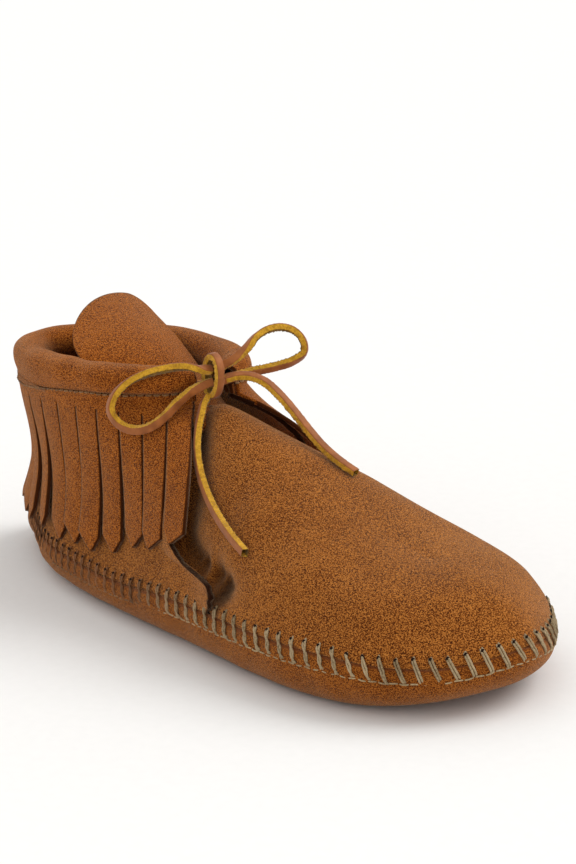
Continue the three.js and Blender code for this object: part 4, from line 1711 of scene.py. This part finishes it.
@dataclass
class Collar:
    """The rolled top edge, one leaf folded over the lace, with its hem stitching."""

    last: Last
    leaf: float = 1.5
    rest: tuple[tuple[float, float], ...] = (
        (5.05, 3.1), (3.3, 4.9), (1.1, 5.75), (-1.2, 5.7), (-3.4, 4.75), (-5.1, 3.0), (-5.8, 0.8),
        (-5.7, -1.5), (-4.8, -3.4), (-3.3, -4.9), (-2.1, -5.7), (-1.8, -6.45),
    )
    back: tuple[tuple[float, float], ...] = (
        (4.7, -6.5), (4.75, -5.6), (5.1, -4.4), (5.6, -2.8), (5.9, -0.8), (5.75, 1.2),
    )
    front: tuple[tuple[float, float], ...] = (
        (3.0, -6.5), (3.1, -5.4), (3.45, -4.0), (4.5, -2.6), (5.4, -0.9), (5.6, 1.1),
    )
    under: float = 1.5
    grip: float = 0.45
    grip_reach: float = 9.0
    heel_sag: float = 0.2
    puff: float = 0.3
    groove: float = 0.4
    groove_reach: float = 0.7
    outer_part: float = 0.35
    steps: int = 240
    cells: tuple[int, int] = (420, 90)

    def __post_init__(self) -> None:
        """Draws the sections at the heel and at the front once."""
        self.sections = [
            evenly(spline([(x, y, 0) for x, y in outer + self.rest], False, self.steps), self.steps)
            for outer in (self.back, self.front)
        ]

    def profile(self, share: np.ndarray, v: np.ndarray) -> tuple[np.ndarray, np.ndarray]:
        """The leaf's section from the outer hem over the roll to the inner hem.

        Args:
            share: Place round the collar.
            v: Place round the section.

        Returns:
            Distances out and up from the collar's line.
        """
        at = np.clip(v, 0, 1) * self.steps
        steps = np.arange(self.steps + 1)
        back, front = ([np.interp(at, steps, line[:, k]) for k in (0, 1)] for line in self.sections)
        forward = np.abs(1 - 2 * share) ** 2
        out, up = (lerp(b, f, forward) for b, f in zip(back, front))
        near_end = np.minimum(share, 1 - share) * self.last.collar_length_round
        grip = 1 - self.grip * (1 - ease(near_end, 0, self.grip_reach)) * ease(up, -6.3, -2)
        heel = 1 - self.heel_sag * (1 - np.abs(1 - 2 * share)) * ease(up, 0, 4) * (share < 0.6)
        return out * grip, up * grip * heel

    def stitch_drop(self, share: np.ndarray) -> np.ndarray:
        """How far the hem's stitch line lies below the collar's line."""
        return HEM_STITCH.read("drop", np.abs(1 - 2 * share))

    def face_at(self, share: np.ndarray, drop: np.ndarray) -> np.ndarray:
        """Places on the outer face of the roll.

        Args:
            share: Place round the collar.
            drop: How far below the collar's line.

        Returns:
            Places in millimetres.
        """
        table = [self.profile(share, np.full(share.shape, v)) for v in np.linspace(0, 0.3, 40)]
        outs, ups = (np.stack([row[k] for row in table], axis=-1) for k in (0, 1))
        nearest = np.abs(ups + drop[:, None]).argmin(axis=1)
        out = outs[np.arange(len(drop)), nearest]
        placed = self.last.collar_at(share) + self.last.collar_out(share) * out[:, None]
        placed[:, 2] -= drop
        return placed

    def stitch_line(self, share: np.ndarray) -> np.ndarray:
        """Places of the hem's stitch line on the outer leaf.

        Args:
            share: Place round the collar.

        Returns:
            Places in millimetres.
        """
        drop = self.stitch_drop(share)
        below = np.maximum(0, drop - self.hem)
        placed = self.face_at(share, np.minimum(drop, self.hem))
        wall_height = self.last.hem_height - self.last.seam_height
        leaf = self.last.quarter_point(share, 1 - below / wall_height)
        leaf = leaf + self.last.collar_out(share) * self.fringe_lift(share, below)[:, None]
        return np.where((drop > self.hem)[:, None], leaf, placed)

    @property
    def hem(self) -> float:
        """How far the roll's lower edge lies below the collar's line."""
        return self.last.hem_depth + self.last.clearance

    def fringe_lift(self, share: np.ndarray, drop: np.ndarray) -> np.ndarray:
        """How far the fringed leaf stands off the quarter where the roll pushes it out.

        Args:
            share: Place round the collar.
            drop: How far below the hem.

        Returns:
            The distances in millimetres.
        """
        across = lerp(self.back[0][0], self.front[0][0], np.abs(1 - 2 * share) ** 2) + 0.1
        rest = self.last.clearance + self.leaf
        return rest + (across - rest) * (1 - ease(drop, 2, 34))

    def build(self, shop: Workshop, finishes: Finishes) -> None:
        """Makes the roll.

        Args:
            shop: Makes the mesh.
            finishes: The boot's finishes.
        """
        last = self.last

        def roll(u: np.ndarray, v: np.ndarray) -> np.ndarray:
            """Places on the roll, drawn in along its stitches and below them.

            Args:
                u: Share across the grid.
                v: Share up it.

            Returns:
                Places in millimetres.
            """
            out, up = self.profile(u, v)
            centre = last.collar_at(u)
            direction = last.collar_out(u)
            placed = centre + direction * out[:, None]
            placed[:, 2] += up
            held = ease(np.minimum(v, 1 - v), 0.02, 0.2)
            puff = ripple(centre + direction * out[:, None] * 0.4, 9, 77) * self.puff * held
            stitched = up + self.stitch_drop(u)
            outside = v < self.outer_part
            groove = self.groove * np.exp(-((stitched / self.groove_reach) ** 2)) * outside
            below = outside * (self.stitch_drop(u) < self.hem)
            under = self.under * ease(-stitched, 0.0, 0.6) * below
            normal = unit(direction * out[:, None] + stack(0 * u, 0 * u, up))
            return placed + normal * (puff - groove)[:, None] - direction * under[:, None]

        bm = bmesh.new()
        shop.grid(bm, *self.cells, roll, flip=True)
        shop.mark(bm, lambda uv: side_edge(uv, self.cells[0], 1.5))
        shop.finish(bm, "collar_leather", finishes.fringe, ["collar"], wall=self.leaf)


@dataclass
class Fringe:
    """The leaf below the hem, slit into pointed strips."""

    last: Last
    collar: Collar
    drop: float = 48.0
    front_short: float = 14.0
    point: float = 4.5
    wall: float = 1.5
    flare: float = 2.6
    sweep: float = 0.045
    strips: int = 25
    swing: float = 0.15
    end: float = 0.006
    cells: int = 12
    rows: int = 72
    folded: float = 4 / 72
    trim: float = 0.8
    slit_top: float = 0.3
    slit_gap: float = 0.75
    slit_vary: float = 0.25
    drift: tuple[float, float] = (0.5, 0.35)
    tilt: float = 1.3
    curl: float = 1.3
    wave: float = 0.3
    stand_off: float = 0.25
    flicks: tuple[tuple[int, float], ...] = ((8, 0.8), (9, 2.2), (10, 3.4), (11, 2.0))

    def strip_edge(self, k: np.ndarray) -> np.ndarray:
        """The share of the collar where the slit before strip k lies."""
        turn = 4 * math.pi * k / self.strips
        return self.end + (1 - 2 * self.end) * (turn - self.swing * np.sin(turn)) / (4 * math.pi)

    def build(self, shop: Workshop, finishes: Finishes) -> None:
        """Makes the fringed leaf, with its slits cut out of one grid.

        Args:
            shop: Makes the mesh.
            finishes: The boot's finishes.
        """
        last = self.last
        wall_height = last.hem_height - last.seam_height
        arc = last.collar_length_round
        across = self.cells + 1
        columns = across * self.strips - 1

        def leaf(u: np.ndarray, v: np.ndarray) -> np.ndarray:
            """Places on the leaf, each strip with its own length, point, slit and swing.

            Args:
                u: Share across the grid.
                v: Share up it.

            Returns:
                Places in millimetres.
            """
            column = np.rint(u * columns).astype(int)
            strip, cell = column // across, column % across
            local = cell / self.cells
            low = 1 - v
            start, stop = self.strip_edge(strip), self.strip_edge(strip + 1)
            middle = (start + stop) / 2
            forward = np.abs(1 - 2 * middle)
            peak = lerp(0.25, 0.65, ease(forward, 0.6, 0.95))
            peak = np.where(middle < 0.5, peak, 1 - peak)
            pointed = np.where(local < peak, local / peak, (1 - local) / (1 - peak))
            trim = self.trim * np.sin(2.3 * strip)
            long = self.drop - self.front_short * forward**4 - self.point * (1 - pointed) + trim
            band = FRINGE_BAND.read("band", forward)
            sewn = self.collar.stitch_drop(lerp(start, stop, local))
            climb = np.maximum(0, self.collar.hem - sewn)
            hanging = long * (low - self.folded) / (1 - self.folded)
            drop = np.where(low > self.folded, hanging, -climb * (1 - low / self.folded))
            open_slit = self.slit_gap + self.slit_vary * np.sin(2.9 * strip)
            slit = lerp(self.slit_top, open_slit, ease(drop, band, 30)) / arc
            place = lerp(start + slit / 2, stop - slit / 2, local)
            slow, quick = self.drift
            drift = slow * np.sin(1.9 * strip + 0.7) + quick * np.sin(0.9 * strip * strip + 2.2)
            place = place + drift / arc * ease(drop, 10, self.drop)
            rise = 1 - drop / wall_height
            share = lerp(self.sweep * (1 - rise), 1 - self.sweep * (1 - rise), place)
            standing = 0.75 + 0.5 * np.sin(1.7 * strip + 0.6)
            flick = sum(amount * (strip == k) for k, amount in self.flicks)
            hung = np.maximum(drop, 0) / self.drop
            lift = self.collar.fringe_lift(place, drop)
            lift = lift + self.flare * standing * hung**2 + flick * hung**3
            tilt = np.sin(5.1 * strip + 0.4) * (local - 0.5) * self.tilt * ease(drop, band, self.drop)
            curl = self.curl * (local - 0.5) ** 2 * ease(drop, band, 24)
            placed = last.quarter_point(share, np.clip(rise, 0, 1.0))
            wave = ripple(placed, 14, 61) * self.wave * ease(drop, 2, 18)
            lift = lift + np.maximum(tilt, -0.8) - curl + np.maximum(wave, -0.3)
            lift = lift + self.stand_off * ease(drop, band, 24)
            placed = placed + last.collar_out(place) * lift[:, None]
            folded = self.collar.face_at(place, self.collar.hem + np.minimum(drop, 0))
            return np.where((drop > 0)[:, None], placed, folded + last.collar_out(place) * 0.1)

        bm = bmesh.new()
        shop.grid(bm, columns, self.rows, leaf, flip=True)
        uv = bm.loops.layers.uv.verify()

        def band_share(column: np.ndarray) -> np.ndarray:
            """The share of the leaf's height above the slits, by column.

            Args:
                column: The grid's column.

            Returns:
                The share.
            """
            k = column // across
            forward = np.abs(1 - self.strip_edge(k) - self.strip_edge(k + 1))
            long = self.drop - self.front_short * forward**4
            return self.folded + (1 - self.folded) * FRINGE_BAND.read("band", forward) / long

        cut = []
        for face in bm.faces:
            middle = [sum(loop[uv].uv[k] for loop in face.loops) / len(face.loops) for k in (0, 1)]
            column = int(middle[0] * columns)
            if column % across == self.cells and 1 - middle[1] > band_share(np.array([column]))[0]:
                cut.append(face)
        bmesh.ops.delete(bm, geom=cut, context="FACES")

        def edge(shares: np.ndarray) -> np.ndarray:
            """How near a place is to the side or the end of its strip.

            Args:
                shares: Shares across the grid and up it.

            Returns:
                0 to 1.
            """
            column = np.rint(shares[:, 0] * columns).astype(int)
            side = np.minimum(column % across, self.cells - column % across)
            low = 1 - shares[:, 1]
            at_side = np.clip(1 - side / 0.8, 0, 1) * (low > band_share(column))
            return np.maximum(at_side, np.clip((low - 0.985) / 0.015, 0, 1)) * 0.8

        shop.mark(bm, edge)
        shop.finish(bm, "fringe_leather", finishes.fringe, ["fringe"], wall=self.wall)


@dataclass
class Tongue:
    """The tall tongue, leaning back over the opening."""

    last: Last
    wall: float = 1.7
    outer_cap: float = 33.0
    inner_cap: float = 12.0
    tip: float = 0.7
    steps: int = 800
    cells: tuple[int, int] = (70, 110)

    def build(self, shop: Workshop, finishes: Finishes) -> None:
        """Makes the tongue.

        Args:
            shop: Makes the mesh.
            finishes: The boot's finishes.
        """
        rows = TONGUE_LINE.values
        middle = list(zip(rows["along"], rows["shift"], rows["height"]))[::-1]
        line = evenly(spline(middle, False, self.steps), self.steps)
        full = float(np.linalg.norm(np.diff(line, axis=0), axis=1).sum())
        along = unit(np.gradient(line, axis=0))

        def leaf(u: np.ndarray, v: np.ndarray) -> np.ndarray:
            """Places on the tongue, whose end is rounded towards its tip.

            Args:
                u: Share across the grid.
                v: Share up it.

            Returns:
                Places in millimetres.
            """
            across = -np.cos(math.pi * u)
            outer = across < self.tip
            side = np.where(outer, 1 + self.tip, 1 - self.tip)
            gap = np.abs(self.tip - across) / side
            cap = np.where(outer, self.outer_cap, self.inner_cap)
            reach = full - cap * (1 - np.sqrt(np.maximum(0, 1 - gap**2)))
            at = v * reach / full * self.steps
            steps = np.arange(self.steps + 1)
            centre = np.stack([np.interp(at, steps, line[:, k]) for k in range(3)], axis=1)
            way = np.stack([np.interp(at, steps, along[:, k]) for k in range(3)], axis=1)
            arch = TONGUE_LINE.read("arch", centre[:, 0])
            side = across * TONGUE_LINE.read("width", centre[:, 0]) / 2
            sink = arch * (1 - np.cos(side / arch))
            placed = centre + stack(-way[:, 2] * sink, arch * np.sin(side / arch), way[:, 0] * sink)
            placed[:, 2] += ripple(placed, 18, 90) * 0.35
            return placed

        def rim(uv: np.ndarray) -> np.ndarray:
            """How near a place is to the tongue's cut sides and end."""
            end = np.clip((uv[:, 1] - 0.99) / 0.01, 0, 1)
            return np.maximum(side_edge(uv, self.cells[0], 1.2), end)

        bm = bmesh.new()
        shop.grid(bm, *self.cells, leaf)
        shop.mark(bm, rim)
        shop.finish(bm, "tongue_leather", finishes.fringe, ["tongue"], wall=self.wall)


@dataclass
class Stitching:
    """The whip stitches of the seam, their holes, and the fine stitches of hem and seam."""

    last: Last
    collar: Collar
    heel_step: float = 4.6
    toe_step: float = 5.4
    whip_low: float = -4.1
    whip_high: float = 3.9
    whip_slant: tuple[float, float] = (2.7, 3.5)
    ply_apart: float = 0.42
    old_ply: float = 0.24
    new_ply: float = 0.38
    whip_hole: float = 0.7
    hem_step: float = 2.6
    hem_half: float = 0.85
    hem_radius: float = 0.34
    hem_hole: float = 0.36
    seam_from: float = 70.0
    seam_step: float = 3.3
    seam_stitch: float = 2.6
    seam_drop: float = 3.9

    def seam_places(self, side: Side) -> np.ndarray:
        """Where the whip stitches stand on one side.

        Args:
            side: The side of the foot.

        Returns:
            Distances along the outline from the heel.
        """
        edge = self.last.edges[side]
        places, at = [], self.heel_step / 2
        while at < edge.travelled[-1] - self.toe_step * 0.3:
            places.append(at)
            at += float(np.interp(at, [60, 120], [self.heel_step, self.toe_step]))
        span = edge.travelled[-1] - self.toe_step / 2 - places[0]
        return places[0] + (np.array(places) - places[0]) * span / (places[-1] - places[0])

    def face(
        self, side: Side, distance: np.ndarray, height: np.ndarray, proud: np.ndarray
    ) -> np.ndarray:
        """Places on the boot's skin near the seam.

        Args:
            side: The side of the foot.
            distance: Distance along the outline from the heel.
            height: Height over the seam, below zero on the sole.
            proud: How far the places stand off the skin.

        Returns:
            Places in millimetres.
        """
        last = self.last
        place = last.along_outline(np.full(distance.shape, side is Side.INNER), distance)
        on_sole = np.interp(height, [-5.0, -3.0, -1.0, 0.0], [0.0, 0.1, 0.45, 1.0])
        upper_depth = last.rim_lean + last.sole_wall + last.clearance
        on_upper = upper_depth - last.seam_bulge(np.maximum(height, 1.6))
        depth = np.where(height < 0.3, on_sole, np.interp(height, [0.3, 2.0], [0.9, 1.2]))
        depth = np.where(height >= 1.6, np.maximum(on_upper, 0.9), depth)
        return last.inset(place, depth - proud, last.seam_at(place[0][..., 0]) + height)

    def whip(self, shop: Workshop, finishes: Finishes) -> None:
        """Makes the slanted whip stitches and the holes at their upper ends.

        Args:
            shop: Makes the meshes.
            finishes: The boot's finishes.
        """
        threads, holes = bmesh.new(), bmesh.new()
        rng = np.random.default_rng(4)
        circle = self.circle(6)
        for side in Side:
            for at in self.seam_places(side):
                low = self.whip_low + rng.uniform(-0.35, 0.35)
                high = self.whip_high + rng.uniform(-0.4, 0.4)
                slant = rng.uniform(*self.whip_slant) * side.value
                v = np.linspace(0, 1, 13)
                distance = at + slant * (0.5 - v)
                arch = np.sin(math.pi * v) ** 0.6
                fresh = float(np.interp(at, [60, 150], [0.1, 1.0]))
                centre = self.face(side, distance, lerp(low, high, v), (0.1 + 0.45 * arch) * fresh)
                ends = np.clip(np.minimum(v, 1 - v) / 0.12, 0, 1)
                out = self.last.along_outline(np.full(v.shape, side is Side.INNER), distance)[1]
                outward = stack(out[:, 0], out[:, 1], 0 * v)
                centre = centre - outward * ((1 - ends) * 1.1)[:, None]
                along = unit(np.gradient(centre, axis=0))
                across = unit(np.cross(along, outward))
                phase = rng.uniform(-0.5, 0.5)
                twist = float(np.interp(at, [225, 250], [7.5, 1.1]))
                for ply in (0, math.pi):
                    angle = phase + ply + (v - 0.5) * twist
                    aside = across * (self.ply_apart * np.cos(angle))[:, None]
                    line = centre + aside + outward * (0.2 * np.sin(angle))[:, None]
                    section = circle * lerp(self.old_ply, self.new_ply, fresh)
                    shop.tube(threads, line, section, outward)
                self.hole(shop, holes, centre[-2], outward[-1], self.whip_hole)
        shop.finish(threads, "whip_stitches", finishes.whip, outward=True)
        shop.finish(holes, "stitch_holes", finishes.hole, outward=True)

    def circle(self, sides: int) -> np.ndarray:
        """A thread's section of radius one."""
        ring = np.linspace(0, 2 * math.pi, sides + 1)[:-1]
        return np.stack([np.cos(ring), np.sin(ring)], axis=1)

    def hole(
        self, shop: Workshop, bm: bmesh.types.BMesh, place: np.ndarray, out: np.ndarray, size: float
    ) -> None:
        """A small dark dimple where a stitch goes in.

        Args:
            shop: Knows the last.
            bm: The mesh that it is added to.
            place: Its middle in millimetres.
            out: The direction out of the leather.
            size: Its radius in millimetres.
        """
        made = bmesh.ops.create_icosphere(bm, subdivisions=2, radius=size * MM)["verts"]
        turn = Vector(out).to_track_quat("Z", "Y").to_matrix()
        centre = Vector(shop.last.world(place + out * 0.05))
        for vert in made:
            flat = Vector((vert.co.x, vert.co.y * 1.25, vert.co.z * 0.45))
            vert.co = turn @ flat + centre

    def running(self, shop: Workshop, finishes: Finishes) -> None:
        """Makes the hem's stitches and the fine line below the whip stitches.

        Args:
            shop: Makes the meshes.
            finishes: The boot's finishes.
        """
        last = self.last
        bm, holes = bmesh.new(), bmesh.new()
        rng = np.random.default_rng(9)
        section = self.circle(5) * self.hem_radius
        count = int(last.collar_length_round / self.hem_step)
        half = self.hem_half / last.collar_length_round
        for k in range(count):
            share = (k + 0.5) / count
            shares = np.linspace(share - half, share + half, 7)
            out = last.collar_out(shares)
            hump = np.sin(math.pi * np.linspace(0, 1, 7)) ** 0.5
            line = self.collar.stitch_line(shares) + out * (0.5 * hump - 0.25)[:, None]
            line[:, 2] += rng.uniform(-0.12, 0.12)
            shop.tube(bm, line, section, out)
            gap = self.collar.stitch_line(np.array([share + 0.5 / count]))[0]
            self.hole(shop, holes, gap - out[-1] * 0.15, out[-1], self.hem_hole)
        hump = np.sin(math.pi * np.linspace(0, 1, 6)) ** 0.5
        for side in Side:
            at = self.seam_from
            while at < last.edges[side].travelled[-1] - 0.5:
                distance = np.linspace(at, at + self.seam_stitch, 6)
                height = -self.seam_drop + 0.15 * np.sin(distance)
                line = self.face(side, distance, height, -0.25 + 0.42 * hump)
                out = last.along_outline(np.full(6, side is Side.INNER), distance)[1]
                shop.tube(bm, line, section * 0.8, stack(out[:, 0], out[:, 1], 0 * distance))
                at += self.seam_step
        shop.finish(bm, "fine_stitches", finishes.hem, outward=True)
        shop.finish(holes, "hem_holes", finishes.hole, outward=True)

    def build(self, shop: Workshop, finishes: Finishes) -> None:
        """Makes all the stitching.

        Args:
            shop: Makes the meshes.
            finishes: The boot's finishes.
        """
        self.whip(shop, finishes)
        self.running(shop, finishes)


def main() -> None:
    """Builds the boot and its studio, and reports each piece."""
    logging.basicConfig(level=logging.INFO, format="%(name)s %(message)s")
    last = Last()
    Camera().place(last)
    shop = Workshop(last)
    finishes = Finishes()
    Studio().build(finishes.floor)
    Lace(last).build(shop, finishes.lace)
    Sole(last).build(shop, finishes)
    Upper(last).build(shop, finishes)
    collar = Collar(last)
    collar.build(shop, finishes)
    Fringe(last, collar).build(shop, finishes)
    Tongue(last).build(shop, finishes)
    Stitching(last, collar).build(shop, finishes)
    bpy.context.view_layer.update()


if __name__ == "__main__":
    main()
